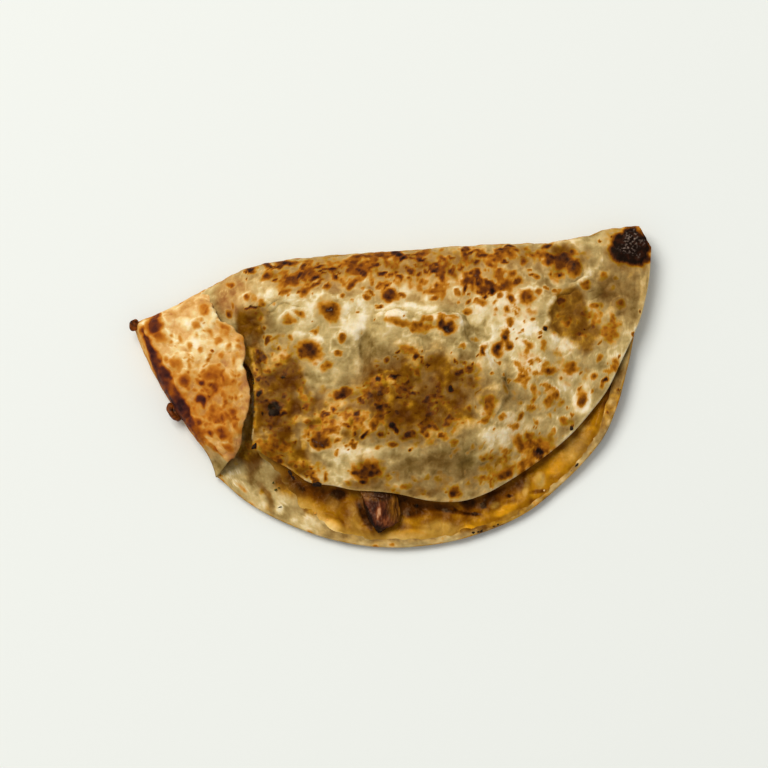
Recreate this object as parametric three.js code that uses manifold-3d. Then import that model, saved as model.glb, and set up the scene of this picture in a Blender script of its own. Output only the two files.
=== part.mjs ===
// Folded quesadilla: one flour tortilla folded over melted cheese and seared beef.
// The left end of the half-moon is turned up and over as a triangular flap.
// Millimetres, +Z up. +X runs along the fold to the charred tip, and +Y from the open edge to the fold.
import * as THREE from "three";
import { mergeVertices } from "three/addons/utils/BufferGeometryUtils.js";
import Module from "manifold-3d";

// Driving dimensions of the tortilla
const SHEET = 1.6; // thickness of the crisped flour tortilla
const GAP = 0.4; // air between a layer and what lies against it
const HALF_LENGTH = 97; // from the middle to either tip
const TIP_HEIGHT = 3.4; // middle of the upper leaf above the floor, at a tip
const EDGE_RISE = 3.6; // how much higher the open edge stands than the tips
const FILL_RISE = 6.6; // how much higher again the filled middle stands
const FILL_REACH = 30; // distance from the open edge over which that height is reached
const TIP_LIFT = 4.2; // the right tip curls up off the floor
const RIM_LIFT = 1.6; // the lower leaf's free edge curls up a little
const RIM_WIDTH = 9; // over this distance
const SETTLE = 0.25; // whatever of the underside is nearer the floor than this lies flat on it
const BEND_TOP = 15; // how far the rounded fold reaches in, above and below
const BEND_UNDER = 5.5;
const BEND_LEVEL = 0.48; // height of the fold's outermost line, as a share of the way up
const WALL_INSET = 2.2; // from the flap's outer side back to where the lower leaf leaves the floor

// Forms that show on the upper leaf
const BLOCK = { height: 3.6, side: 4, front: 16 }; // a block of filling, steep on three sides
const LEFT_BULGE = { x: -34, y: 2, width: 15, depth: 22, height: 1.6 };
const VALLEY = { x: -11, y: 8, turn: 1.45, length: 17, width: 4, height: -1.3 };
const SUNK = { x: 63, y: 26, left: 5, right: 15, depth: 13, height: 4.4 }; // sunk place, steep on its left
const CREASE = { x: 63.5, y: 37.5, turn: 0.84, length: 9, width: 2.4, height: 1.3 };
const TUCKED_LIFT = { x: -51, y: -6, reach: 15, height: 1.8 }; // the edge beside the flap stands up
const PROP = { x: -5, y: -41, reach: 13, height: 1.4 }; // the open edge is held up over the chunk of beef
const WAVES = [
  { size: 26, height: 0.9, seed: 3 },
  { size: 11, height: 0.5, seed: 8 },
];

// How the columns of the sheet are shared out along its length, from 0 at the left tip to 1 at the right
const FLAP_END = 0.23;
const CORNER = 0.29;
const COLUMNS = { flap: 17, corner: 4, rest: 34 };
const ROWS = { upper: 16, bend: 6, lower: 11, wall: 5, flap: 9 };

// Filling. The last list tells how far the cheese has run out over the lower leaf, from the left end to the
// right end: 0 at the upper leaf's edge, 1 at the rim.
const CHEESE = { start: 0.1, end: 0.86, columns: 40, rows: 14, film: 0.9, fromFold: 12, under: 1 };
const CHEESE_OUT = [
  -0.3, -0.3, -0.25, -0.25, -0.15, 0.6, 0.88, 0.9, 0.84, 0.8, 0.78, 0.93, 0.86, 0.66, 0.3, 0.05, -0.3,
];
const CHUNK = { x: -4.6, y: -46, z: 5.2, length: 16, width: 19, height: 6.8, turn: 0.12 };

// Crisped drops on the left end
const TIP_BEAD = { x: -95.8, y: 22.6, z: 6.2, radius: 1.8 };
const SIDE_BEAD = { x: -80.2, y: -9.8, z: 4.4, radius: 3.0 };

const curve = (points, closed = false) =>
  new THREE.CatmullRomCurve3(points.map(([x, y, z = 0]) => new THREE.Vector3(x, y, z)), closed, "centripetal");

// Outlines seen from above. Each pair of curves that meets shares its end points.
const fold = curve([
  [-90, 23.4], [-82, 25.6], [-76, 30], [-69, 35], [-63, 38.8], [-57.5, 41.8], [-52, 43.9], [-38, 46.7],
  [-17.4, 48.5], [10.4, 50.5], [38, 52.2], [62, 53.6], [73.3, 55.8], [81.4, 58.4], [92, 58.6],
]);
const upperTucked = curve([[-87.4, 20.6], [-80, 14], [-66, 9.5], [-55, 8], [-51, 1], [-50.4, -12], [-51.6, -23.8]]);
const upperEdge = curve([
  [-51.6, -23.8], [-44, -28.5], [-38, -31.6], [-30.6, -36.6], [-22, -38], [-14, -39.8], [-5, -40.6], [3, -41.6],
  [14, -43.7], [25.6, -43.7], [34.1, -41.1], [42.6, -36.4], [53.9, -28.9], [65.3, -19.6], [73.7, -10.2],
  [79.8, -2], [84.7, 8], [89.4, 18], [92.6, 26], [95.6, 39.8], [96.6, 51.6],
]);
const wallOutside = curve([[-95.8, 22], [-91, 11], [-83.6, -3.4], [-75.5, -15], [-68.3, -25.6], [-64.4, -34]]);
const lowerEdge = curve([
  [-64.4, -34], [-54, -43], [-41, -50.4], [-25, -56.6], [-9.2, -59.8], [6.7, -60.2], [27.8, -56.6],
  [49, -47.7], [64.8, -34.8], [72.4, -26.9], [78.6, -18.9], [83.4, -7.8], [86.2, 2], [88.6, 12], [91.4, 29],
  [94, 50],
]);
const blockOutline = curve([
  [-2.6, 23.1], [10, 24], [24.4, 21.6], [28, 12.5], [36, 4.6], [40.5, -1], [40, -9], [36, -22], [18, -28],
  [-6, -26], [-12, -14], [-8, -2], [-6, 14],
], true);

// The flap's scorched crest and its ragged free edge, from the fold's far side to the lower corner
const flapCrest = curve([
  [-94.4, 23.6, 5], [-92.8, 20.4, 6.8], [-87.4, 8.6, 8.6], [-80.4, -4.6, 9.8], [-73, -16.6, 10.2],
  [-65.2, -24.4, 9.6], [-60.2, -29, 8.2],
]);
const flapEdge = curve([
  [-69, 36, 5.2], [-68.2, 35.2, 8.2], [-67, 33.2, 10.4], [-65.9, 28.5, 11.8], [-63, 23.2, 12.6],
  [-58.4, 18.6, 13.2], [-55.6, 13, 13.4], [-54.8, 6, 13.3], [-54.6, -1, 13.2], [-52.8, -6, 12.9],
  [-53.4, -12, 12.4], [-54.8, -18, 11.5], [-56, -23.5, 10.2], [-58.6, -28.2, 8.6],
]);

const mix = THREE.MathUtils.lerp;
const step = (from, to, v) => THREE.MathUtils.smoothstep(v, from, to);
const bell = (v) => Math.exp(-v * v);

// A value read from evenly spaced ones.
function along(values, u) {
  const at = u * (values.length - 1);
  const i = Math.min(values.length - 2, Math.floor(at));
  return mix(values[i], values[i + 1], at - i);
}

// Repeatable unevenness from -1 to 1, with its humps about `size` apart.
function uneven(x, y, size, seed) {
  const node = (i, j) => {
    const v = Math.sin(i * 127.1 + j * 311.7 + seed * 74.7) * 43758.5453;
    return 2 * (v - Math.floor(v)) - 1;
  };
  const [i, j] = [Math.floor(x / size), Math.floor(y / size)];
  const [u, v] = [step(0, 1, x / size - i), step(0, 1, y / size - j)];
  return mix(mix(node(i, j), node(i + 1, j), u), mix(node(i, j + 1), node(i + 1, j + 1), u), v);
}

const nearest = (points, x, y) => Math.min(...points.map((p) => Math.hypot(p.x - x, p.y - y)));

function isInside(outline, x, y) {
  let inside = false;
  outline.forEach((a, i) => {
    const b = outline[(i + 1) % outline.length];
    if (a.y > y !== b.y > y && x < ((b.x - a.x) * (y - a.y)) / (b.y - a.y) + a.x) inside = !inside;
  });
  return inside;
}

const openEdge = [...upperTucked.getSpacedPoints(30), ...upperEdge.getSpacedPoints(90)];
const upperOutline = [...openEdge, ...fold.getSpacedPoints(60).reverse()];
const rimLine = lowerEdge.getSpacedPoints(90);
const blockLine = blockOutline.getSpacedPoints(60);

// How far a point lies in from the upper leaf's open edge, and in from the block's outline: negative outside.
const insideUpper = (x, y) => nearest(openEdge, x, y) * (isInside(upperOutline, x, y) ? 1 : -1);
const insideBlock = (x, y) => nearest(blockLine, x, y) * (isInside(blockLine, x, y) ? 1 : -1);

// Middle of the lower leaf above a point of the floor
const tipLift = (x) => TIP_LIFT * step(45, 100, x) ** 1.3;
const rimLift = (x, y) => RIM_LIFT * (1 - step(0, RIM_WIDTH, nearest(rimLine, x, y))) ** 1.5;
const lowerLeaf = (x, y) => SHEET / 2 + tipLift(x) + rimLift(x, y);

// A long low ridge, or a groove where its height is negative
function ridge({ x, y, turn, length, width, height }, px, py) {
  const [dx, dy] = [px - x, py - y];
  const [c, s] = [Math.cos(turn), Math.sin(turn)];
  return height * bell((dx * c + dy * s) / length) * bell((dy * c - dx * s) / width);
}

const mound = ({ x, y, reach, height }, px, py) => height * bell(Math.hypot(px - x, py - y) / reach);

// Middle of the upper leaf above a point of the floor, leaving out the rounded fold
function crown(x, y) {
  const fullness = 1 - Math.min(1, Math.abs(x / (HALF_LENGTH + 3))) ** 3.2;
  const fill = FILL_RISE * step(0, FILL_REACH, insideUpper(x, y));
  const side = mix(BLOCK.front, BLOCK.side, step(-16, 0, y));
  const block = BLOCK.height * step(-side, 0.3 * side, insideBlock(x, y));
  const bulge = LEFT_BULGE.height * bell((x - LEFT_BULGE.x) / LEFT_BULGE.width)
    * bell((y - LEFT_BULGE.y) / LEFT_BULGE.depth);
  const sunk = SUNK.height * bell((x - SUNK.x) / (x < SUNK.x ? SUNK.left : SUNK.right))
    * bell((y - SUNK.y) / SUNK.depth);
  const waves = WAVES.reduce((sum, w) => sum + w.height * uneven(x, y, w.size, w.seed), 0);
  const forms = ridge(VALLEY, x, y) + ridge(CREASE, x, y) + mound(TUCKED_LIFT, x, y) + mound(PROP, x, y);
  return TIP_HEIGHT + tipLift(x) + fullness * (EDGE_RISE + fill + waves) + block + bulge - sunk + forms;
}

// Where column t of the sheet meets each outline
const onFold = (t) => fold.getPointAt(t);
const onUpper = (t) => (t < CORNER ? upperTucked.getPointAt(t / CORNER)
  : upperEdge.getPointAt(Math.min(1, (t - CORNER) / (1 - CORNER))));

function onLower(t) {
  if (t > FLAP_END) return lowerEdge.getPointAt(Math.min(1, (t - FLAP_END) / (1 - FLAP_END)));
  const u = t / FLAP_END;
  const outside = wallOutside.getPoint(u);
  const inward = wallOutside.getTangent(u);
  const inset = WALL_INSET * (1 - u ** 6);
  return outside.add(new THREE.Vector3(-inward.y, inward.x, 0).multiplyScalar(inset));
}

// Middle of the lower leaf at share s of the way from the fold to its edge, in column t.
function lowerAt(t, s) {
  const p = onFold(t).lerp(onLower(t), s);
  return p.setZ(lowerLeaf(p.x, p.y));
}

// One column of the folded sheet, from the upper leaf's edge round the fold to the lower leaf's edge.
function column(t) {
  const points = [];
  const [start, above, under] = [onFold(t), onUpper(t), onLower(t)];
  const [reachAbove, reachUnder] = [start.distanceTo(above), start.distanceTo(under)];
  const bendAbove = Math.min(BEND_TOP, 0.45 * reachAbove);
  const bendUnder = Math.min(BEND_UNDER, 0.45 * reachUnder);
  const floorHere = lowerAt(t, 0).z;
  const middle = mix(floorHere, crown(start.x, start.y - 1), BEND_LEVEL);
  const addUpper = (distance) => {
    const p = start.clone().lerp(above, distance / reachAbove);
    const round = Math.sqrt(1 - (1 - Math.min(1, distance / bendAbove)) ** 2);
    p.z = mix(middle, crown(p.x, p.y), round);
    points.push(p);
  };
  const addLower = (distance) => {
    const p = lowerAt(t, distance / reachUnder);
    const round = Math.sqrt(1 - (1 - Math.min(1, distance / bendUnder)) ** 2);
    p.z = mix(middle, p.z, round);
    points.push(p);
  };
  for (let i = 0; i < ROWS.upper; i++) addUpper(mix(reachAbove, bendAbove, i / ROWS.upper));
  for (let i = ROWS.bend; i > 0; i--) addUpper(bendAbove * (1 - Math.cos((i / ROWS.bend) * Math.PI / 2)));
  for (let i = 0; i < ROWS.bend; i++) addLower(bendUnder * (1 - Math.cos((i / ROWS.bend) * Math.PI / 2)));
  for (let i = 0; i <= ROWS.lower; i++) addLower(mix(bendUnder, reachUnder, i / ROWS.lower));
  return points;
}

// One column of the flap, from the lower leaf's edge up its side wall, over the crest and in to its ragged edge.
function flapColumn(u) {
  const points = [];
  const start = lowerAt(u * FLAP_END, 1);
  const outside = wallOutside.getPoint(u);
  outside.add(outside.clone().sub(start).setZ(0).multiplyScalar(0.5)).setZ(start.z + 0.8);
  const crest = flapCrest.getPoint(u ** 0.9);
  const edge = flapEdge.getPoint(u ** 0.9);
  for (let i = 0; i < ROWS.wall; i++) {
    const v = i / ROWS.wall;
    const [a, b] = [start.clone().lerp(outside, v), outside.clone().lerp(crest, v)];
    points.push(a.lerp(b, v));
  }
  const onTop = step(0.02, 0.2, u);
  for (let i = 0; i <= ROWS.flap; i++) {
    const v = i / ROWS.flap;
    const p = crest.clone().lerp(edge, v);
    p.z += onTop * (0.9 * Math.sin(Math.PI * v) + 0.5 * Math.min(1, 4 * v) * uneven(p.x, p.y, 8, 5));
    p.y -= (1 - onTop) * 1.2 * Math.sin(Math.PI * v);
    points.push(p);
  }
  return points;
}

// Positions along the length for the columns: the flap's end and the corner each get one of their own.
function spread() {
  const run = (from, to, count) => Array.from({ length: count }, (_, i) => mix(from, to, i / count));
  return [...run(0, FLAP_END, COLUMNS.flap), ...run(FLAP_END, CORNER, COLUMNS.corner),
    ...run(CORNER, 1, COLUMNS.rest), 1];
}

// Triangles between neighbouring columns of points.
function skin(columns) {
  const positions = [];
  for (let i = 0; i + 1 < columns.length; i++) {
    for (let j = 0; j + 1 < columns[i].length; j++) {
      const [a, b, c, d] = [columns[i][j], columns[i][j + 1], columns[i + 1][j + 1], columns[i + 1][j]];
      for (const p of [a, c, b, a, d, c]) positions.push(p.x, p.y, p.z);
    }
  }
  return positions;
}

function merged(positions) {
  const raw = new THREE.BufferGeometry();
  raw.setAttribute("position", new THREE.Float32BufferAttribute(positions, 3));
  return mergeVertices(raw, 1e-3);
}

// A closed body from an open skin: one face pushed out along the normals, one pushed in, and the border joined.
function thicken(positions, thickness) {
  const middle = merged(positions);
  middle.computeVertexNormals();
  const { position, normal } = middle.attributes;
  const count = position.count;
  const points = new Float32Array(count * 6);
  const push = new THREE.Vector3();
  for (let i = 0; i < count; i++) {
    for (const side of [0, 1]) {
      push.fromBufferAttribute(position, i)
        .addScaledVector(new THREE.Vector3().fromBufferAttribute(normal, i), (side ? -0.5 : 0.5) * thickness);
      push.toArray(points, 3 * (i + side * count));
    }
  }
  const faces = [];
  const borders = new Map();
  for (let f = 0; f < middle.index.count; f += 3) {
    const [a, b, c] = [0, 1, 2].map((k) => middle.index.getX(f + k));
    if (a === b || b === c || c === a) continue;
    faces.push(a, b, c, c + count, b + count, a + count);
    for (const [p, q] of [[a, b], [b, c], [c, a]]) {
      if (!borders.delete(`${q},${p}`)) borders.set(`${p},${q}`, [p, q]);
    }
  }
  for (const [p, q] of borders.values()) faces.push(q, p, p + count, q, p + count, q + count);
  return { points, faces };
}

const wasm = await Module();
wasm.setup();

const toSolid = ({ points, faces }) =>
  new wasm.Manifold(new wasm.Mesh({ numProp: 3, vertProperties: points, triVerts: new Uint32Array(faces) }));

function solidOf(geometry) {
  const bare = geometry.clone();
  for (const name of ["normal", "uv"]) bare.deleteAttribute(name);
  const tight = mergeVertices(bare, 1e-4);
  return toSolid({ points: tight.attributes.position.array, faces: tight.index.array });
}

function tortilla() {
  const main = spread().map(column);
  const flap = spread().filter((t) => t <= FLAP_END + 1e-9).map((t) => flapColumn(t / FLAP_END));
  const body = thicken([...skin(main), ...skin(flap)], SHEET);
  for (let i = 2; i < body.points.length; i += 3) {
    if (body.points[i] < SETTLE) body.points[i] = 0;
  }
  const sheet = toSolid(body);
  const bead = ({ x, y, z, radius }) =>
    solidOf(new THREE.IcosahedronGeometry(radius, 2).scale(1, 1.1, 0.9).translate(x, y, z));
  return sheet.add(bead(TIP_BEAD)).add(bead(SIDE_BEAD));
}

// A closed body between the leaves: lower face, upper face and a rim all round.
function cheese() {
  const lower = [];
  const upper = [];
  for (let i = 0; i <= CHEESE.columns; i++) {
    const u = i / CHEESE.columns;
    const t = mix(CHEESE.start, CHEESE.end, u);
    const [start, above, under] = [onFold(t), onUpper(t), onLower(t)];
    const front = above.clone().lerp(under, along(CHEESE_OUT, u));
    const back = start.clone().lerp(front, Math.min(0.6, CHEESE.fromFold / start.distanceTo(front)));
    const [below, over] = [[], []];
    for (let j = 0; j <= CHEESE.rows; j++) {
      const share = j / CHEESE.rows;
      const p = back.clone().lerp(front, share);
      const floor = lowerLeaf(p.x, p.y) + SHEET / 2 + GAP;
      const film = CHEESE.film * (0.7 + 0.8 * uneven(p.x, p.y, 7, 11) ** 2) * (1 - share ** 12);
      const depth = insideUpper(p.x, p.y);
      const ceiling = crown(p.x, p.y) - SHEET * 0.62 - GAP - CHEESE.under * step(2, 12, depth);
      const top = Math.min(ceiling, mix(floor + film, ceiling, step(-1, 5, depth)));
      below.push(p.clone().setZ(floor));
      over.push(p.clone().setZ(Math.max(floor + 0.5, top)));
    }
    lower.push(below);
    upper.push(over);
  }
  const [left, right] = [0, CHEESE.columns];
  const mesh = merged([
    ...skin([...upper].reverse()),
    ...skin(lower),
    ...skin([lower.map((c) => c[0]), upper.map((c) => c[0])]),
    ...skin([upper.map((c) => c.at(-1)), lower.map((c) => c.at(-1))]),
    ...skin([upper[left], lower[left]]),
    ...skin([lower[right], upper[right]]),
  ]);
  return toSolid({ points: mesh.attributes.position.array, faces: mesh.index.array });
}

// A torn piece of seared beef, pressed between the two leaves: a block whose left side slants in to a corner
// at the front, with a ridge that runs out to that corner.
function beef({ x, y, z, length, width, height, turn }, grow = 0) {
  const shape = new THREE.IcosahedronGeometry(1, 4);
  const { position } = shape.attributes;
  const up = new THREE.Vector3(0, 0, 1);
  const v = new THREE.Vector3();
  for (let i = 0; i < position.count; i++) {
    v.fromBufferAttribute(position, i);
    const block = 1 / Math.max(Math.abs(v.x) * 1.05, Math.abs(v.y) * 1.05, Math.abs(v.z) * 1.1, 0.72);
    v.multiplyScalar(mix(1, block, 0.7) * (1 + 0.07 * uneven(v.x + 4, v.y - 2 * v.z, 0.45, 21)));
    const front = 1 - step(-1.05, -0.1, v.y);
    v.x = mix(v.x, 1, 0.42 * front);
    v.z *= 0.85 - 0.6 * Math.abs(v.x + 0.1) + 0.3 * step(-1, 0, v.y);
    v.y += 0.34 * front * Math.max(0, v.x + 0.16);
    v.set(v.x * (length / 2 + grow), v.y * (width / 2 + grow), v.z * (height / 2 + grow));
    v.applyAxisAngle(up, turn).add(new THREE.Vector3(x, y, z));
    const floor = lowerLeaf(v.x, v.y) + SHEET * 0.55 + GAP - grow;
    const roof = insideUpper(v.x, v.y) > -2 ? crown(v.x, v.y) - SHEET * 0.62 - GAP + grow : Infinity;
    position.setXYZ(i, v.x, v.y, Math.max(floor, Math.min(roof, v.z)));
  }
  return solidOf(shape);
}

const materials = {
  tortilla: { color: 0xd9c28e, roughness: 0.75, metalness: 0 },
  cheese: { color: 0xcf7f16, roughness: 0.35, metalness: 0 },
  beef: { color: 0x4a2413, roughness: 0.4, metalness: 0 },
};

function toMesh(name, solid, look) {
  const { vertProperties, triVerts } = solid.getMesh();
  const geometry = new THREE.BufferGeometry();
  geometry.setAttribute("position", new THREE.BufferAttribute(new Float32Array(vertProperties), 3));
  geometry.setIndex(new THREE.BufferAttribute(new Uint32Array(triVerts), 1));
  geometry.computeVertexNormals();
  const mesh = new THREE.Mesh(geometry, new THREE.MeshStandardMaterial(materials[look]));
  mesh.name = name;
  return mesh;
}

const shell = tortilla();
const chunk = beef(CHUNK);
const filling = cheese().subtract(beef(CHUNK, GAP));

const quesadilla = new THREE.Group();
quesadilla.add(
  toMesh("tortilla", shell, "tortilla"),
  toMesh("cheese_filling", filling, "cheese"),
  toMesh("beef_chunk", chunk, "beef"),
);

// The origin is under the middle of the whole, on the floor.
const box = new THREE.Box3().setFromObject(quesadilla);
quesadilla.position.set(-(box.min.x + box.max.x) / 2, -(box.min.y + box.max.y) / 2, -box.min.z);

export default quesadilla;
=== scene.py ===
"""Looks of a folded quesadilla: a pan-toasted wheat tortilla over melted cheese and seared beef."""

import itertools
import math

import bpy
import numpy as np
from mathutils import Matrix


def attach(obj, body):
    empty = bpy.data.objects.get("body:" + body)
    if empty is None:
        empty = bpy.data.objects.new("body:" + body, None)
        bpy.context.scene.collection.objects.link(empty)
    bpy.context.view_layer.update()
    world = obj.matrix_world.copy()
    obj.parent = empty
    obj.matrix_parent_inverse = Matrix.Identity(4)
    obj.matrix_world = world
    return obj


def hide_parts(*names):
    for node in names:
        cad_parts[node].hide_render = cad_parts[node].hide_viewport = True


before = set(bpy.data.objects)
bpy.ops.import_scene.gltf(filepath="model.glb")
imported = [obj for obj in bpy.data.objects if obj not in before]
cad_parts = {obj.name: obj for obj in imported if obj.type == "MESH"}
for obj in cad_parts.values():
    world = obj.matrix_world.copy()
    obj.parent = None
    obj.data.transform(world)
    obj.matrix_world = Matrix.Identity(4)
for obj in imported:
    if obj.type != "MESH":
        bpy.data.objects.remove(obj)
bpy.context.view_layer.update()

bl_info = {
    "name": "Folded quesadilla",
    "version": (1, 0, 0),
    "blender": (4, 5, 0),
    "location": "View3D > Sidebar > Quesadilla",
    "description": "Models and dresses a folded, pan-toasted quesadilla around its packed solids",
    "category": "Object",
}

MM = 0.001

# The forms below are the ones of the solids, in millimetres: +X runs along the fold to the charred tip, and
# +Y from the open edge to the fold. The solids' own box is centred, which moves everything by this much.
SHIFT = np.array([0.452, 0.516, 0.0])

# The sheet's thickness, and half the length of the half-moon
SHEET = 1.6
HALF_LENGTH = 97
# The upper leaf: its height at the tips, what its edge and the filling add, and the filling's reach
TIP_HEIGHT = 3.4
EDGE_RISE = 3.6
FILL_RISE = 6.6
FILL_REACH = 30
# How far the charred tip and the lower leaf's rim curl up, how wide that rim is, and the height below which
# the sheet is set down on the floor
TIP_LIFT = 4.2
RIM_LIFT = 1.6
RIM_WIDTH = 9
SETTLE = 0.25
# The rounded fold: how far it reaches in above and below, and how high its middle is between the leaves
BEND_TOP = 15
BEND_UNDER = 5.5
BEND_LEVEL = 0.48
# How far the left wall's foot stands in from its outside
WALL_INSET = 2.2
# The block of filling, and how wide its sides and its front slope
BLOCK_HEIGHT = 3.6
BLOCK_SIDE = 4
BLOCK_FRONT = 16
# Shares of the way from left to right where the flap ends, and where the upper leaf's free edge begins
FLAP_END = 0.23
CORNER = 0.29

# Ridges and grooves of the upper leaf: x, y, turn, half length, half width, height
VALLEY = (-11, 8, 1.45, 17, 4, -1.3)
CREASE = (63.5, 37.5, 0.84, 9, 2.4, 1.3)
# Mounds: x, y, half width, half depth, height
LEFT_BULGE = (-34, 2, 15, 22, 1.6)
TUCKED_LIFT = (-51, -6, 15, 15, 1.8)
PROP = (-5, -41, 13, 13, 1.4)
# The sunk place is steeper on its left
SUNK_CENTRE = (63, 26)
SUNK_LEFT = 5
SUNK_RIGHT = 15
SUNK_HALF_DEPTH = 13
SUNK_HEIGHT = 4.4
# Broad unevenness: size, height, seed
WAVES = ((26, 0.9, 3), (11, 0.5, 8))

# The cheese: the shares of the fold's length between which it lies, how thick it has spread, how far from the
# fold it starts, and how far it has run from the upper leaf's edge to the lower leaf's
CHEESE_START = 0.1
CHEESE_END = 0.86
CHEESE_FILM = 0.9
CHEESE_FROM_FOLD = 12
CHEESE_OUT = (
    -0.3, -0.3, -0.25, -0.25, -0.15, 0.6, 0.88, 0.92, 0.9, 0.92, 0.96, 0.99, 0.985, 0.96, 0.8, 0.4, -0.3,
)
# The beef: its middle and size, and its left and right side in plan by how far along it they are
CHUNK_CENTRE = (-4.6, -46, 5.2)
CHUNK_SIZE = (16, 20.8, 6.8)
CHUNK_ALONG = (-1.0, -0.86, -0.66, -0.5, -0.2, 0.2, 1.0)
CHUNK_LEFT = (-0.2, -1.2, -2.4, -3.4, -4.8, -6.4, -7.6)
CHUNK_RIGHT = (0.1, 1.4, 4.4, 7.4, 7.6, 7.0, 6.0)

# The camera of the photograph looks along +Y and down at this angle.
ELEVATION = math.radians(79)
VIEW_SIN = math.sin(ELEVATION)
VIEW_COS = math.cos(ELEVATION)


class Line:
    """A smooth line through points, read at shares from 0 to 1 of its course."""

    def __init__(self, points, closed=False):
        self.closed = closed
        self.points = np.array([(*p, 0.0)[:3] for p in points], float)
        self.shares = np.linspace(0, 1, 201)
        steps = np.linalg.norm(np.diff(self.at(self.shares), axis=0), axis=1)
        lengths = np.concatenate([[0], np.cumsum(steps)])
        self.lengths = lengths / lengths[-1]

    def _point(self, k):
        count = len(self.points)
        if self.closed:
            return self.points[k % count]
        inside = self.points[np.clip(k, 0, count - 1)]
        before = 2 * self.points[0] - self.points[1]
        after = 2 * self.points[-1] - self.points[-2]
        inside = np.where((k < 0)[..., None], before, inside)
        return np.where((k >= count)[..., None], after, inside)

    def at(self, u):
        """Points at shares u of the list of points."""
        spans = len(self.points) - (0 if self.closed else 1)
        place = np.clip(np.asarray(u, float), 0, 1) * spans
        i = np.minimum(place.astype(int), spans - 1)
        w = (place - i)[..., None]
        p0, p1, p2, p3 = (self._point(i + k) for k in (-1, 0, 1, 2))
        d0, d1, d2 = (
            np.maximum(((b - a) ** 2).sum(-1, keepdims=True) ** 0.25, 1e-4)
            for a, b in ((p0, p1), (p1, p2), (p2, p3))
        )
        m1 = ((p1 - p0) / d0 - (p2 - p0) / (d0 + d1) + (p2 - p1) / d1) * d1
        m2 = ((p2 - p1) / d1 - (p3 - p1) / (d1 + d2) + (p3 - p2) / d2) * d1
        return p1 + w * m1 + w**2 * (3 * (p2 - p1) - 2 * m1 - m2) + w**3 * (2 * (p1 - p2) + m1 + m2)

    def along(self, u):
        """Points at shares u of the length."""
        return self.at(np.interp(u, self.lengths, self.shares))


FOLD = Line([
    (-90, 23.4), (-82, 25.6), (-76, 30), (-69, 35), (-63, 38.8), (-57.5, 41.8), (-52, 43.9), (-38, 46.7),
    (-17.4, 48.5), (10.4, 50.5), (38, 52.2), (62, 53.6), (73.3, 55.8), (81.4, 58.4), (92, 58.6),
])
UPPER_TUCKED = Line([(-87.4, 20.6), (-80, 14), (-66, 9.5), (-55, 8), (-51, 1), (-50.4, -12), (-51.6, -23.8)])
UPPER_EDGE = Line([
    (-51.6, -23.8), (-44, -28.5), (-38, -31.6), (-30.6, -36.6), (-22, -38), (-14, -39.8), (-5, -40.6),
    (3, -41.6), (14, -43.7), (25.6, -43.7), (34.1, -41.1), (42.6, -36.4), (53.9, -28.9), (65.3, -19.6),
    (73.7, -10.2), (79.8, -2), (84.7, 8), (89.4, 18), (92.6, 26), (95.6, 39.8), (96.6, 51.6),
])
WALL_OUTSIDE = Line([(-95.8, 22), (-91, 11), (-83.6, -3.4), (-75.5, -15), (-68.3, -25.6), (-64.4, -34)])
LOWER_EDGE = Line([
    (-64.4, -34), (-54, -43), (-41, -50.4), (-25, -56.6), (-9.2, -59.8), (6.7, -60.2), (27.8, -56.6),
    (49, -47.7), (64.8, -34.8), (72.4, -26.9), (78.6, -18.9), (83.4, -7.8), (86.2, 2), (88.6, 12),
    (91.4, 29), (94, 50),
])
BLOCK_OUTLINE = Line([
    (-2.6, 23.1), (10, 24), (24.4, 21.6), (28, 12.5), (36, 4.6), (40.5, -1), (40, -9), (36, -22), (18, -28),
    (-6, -26), (-12, -14), (-8, -2), (-6, 14),
], closed=True)
FLAP_CREST = Line([
    (-94.4, 23.6, 5), (-92.8, 20.4, 6.8), (-87.4, 8.6, 8.6), (-80.4, -4.6, 9.8), (-73, -16.6, 10.2),
    (-65.2, -24.4, 9.6), (-60.2, -29, 8.2),
])
# The flap's edge grows out of the upper leaf at its top, and lies free further down.
FLAP_EDGE = Line([
    (-69, 36.2, 4.4), (-68, 35.6, 6.0), (-67, 33.4, 8.2), (-66.4, 30, 9.6), (-65.6, 26.4, 10.6),
    (-63.4, 23.4, 11.4), (-58.6, 20.4, 12.2), (-55.4, 16.2, 12.9), (-54, 11.5, 13.3), (-54.9, 4.9, 13.3),
    (-52.6, -4, 12.9), (-52.9, -10.5, 12.4), (-55, -17.3, 11.5), (-56, -22.5, 10.2), (-58.4, -27.6, 8.6),
])


def mix(a, b, share):
    return a + (b - a) * share


def step(low, high, value):
    """0 below low, 1 above high, and smooth between."""
    v = np.clip((value - low) / (high - low), 0, 1)
    return v * v * (3 - 2 * v)


def bell(value):
    return np.exp(-value * value)


def hashed(value):
    """Repeatable scatter from -1 to 1."""
    v = np.sin(value) * 43758.5453
    return 2 * (v - np.floor(v)) - 1


def uneven(x, y, size, seed):
    """Repeatable unevenness from -1 to 1 in plan, its humps about size apart, as in the solids."""
    i, j = np.floor(x / size), np.floor(y / size)
    u, v = step(0, 1, x / size - i), step(0, 1, y / size - j)

    def node(a, b):
        return hashed(a * 127.1 + b * 311.7 + seed * 74.7)

    return mix(mix(node(i, j), node(i + 1, j), u), mix(node(i, j + 1), node(i + 1, j + 1), u), v)


def turned_by(dx, dy, turn):
    """Offsets measured along a direction turned by an angle, and square to it."""
    c, s = math.cos(turn), math.sin(turn)
    return dx * c + dy * s, dy * c - dx * s


def grain(points, size, seed):
    """Repeatable soft noise from -1 to 1 in space, its humps about size apart."""
    cell = np.floor(points / size)
    share = step(0, 1, points / size - cell)
    total = np.zeros(points.shape[:-1])
    for corner in itertools.product((0, 1), repeat=3):
        value = hashed((cell + corner) @ np.array([127.1, 311.7, 74.7]) + seed * 53.3)
        total += value * np.where(corner, share, 1 - share).prod(-1)
    return total


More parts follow.
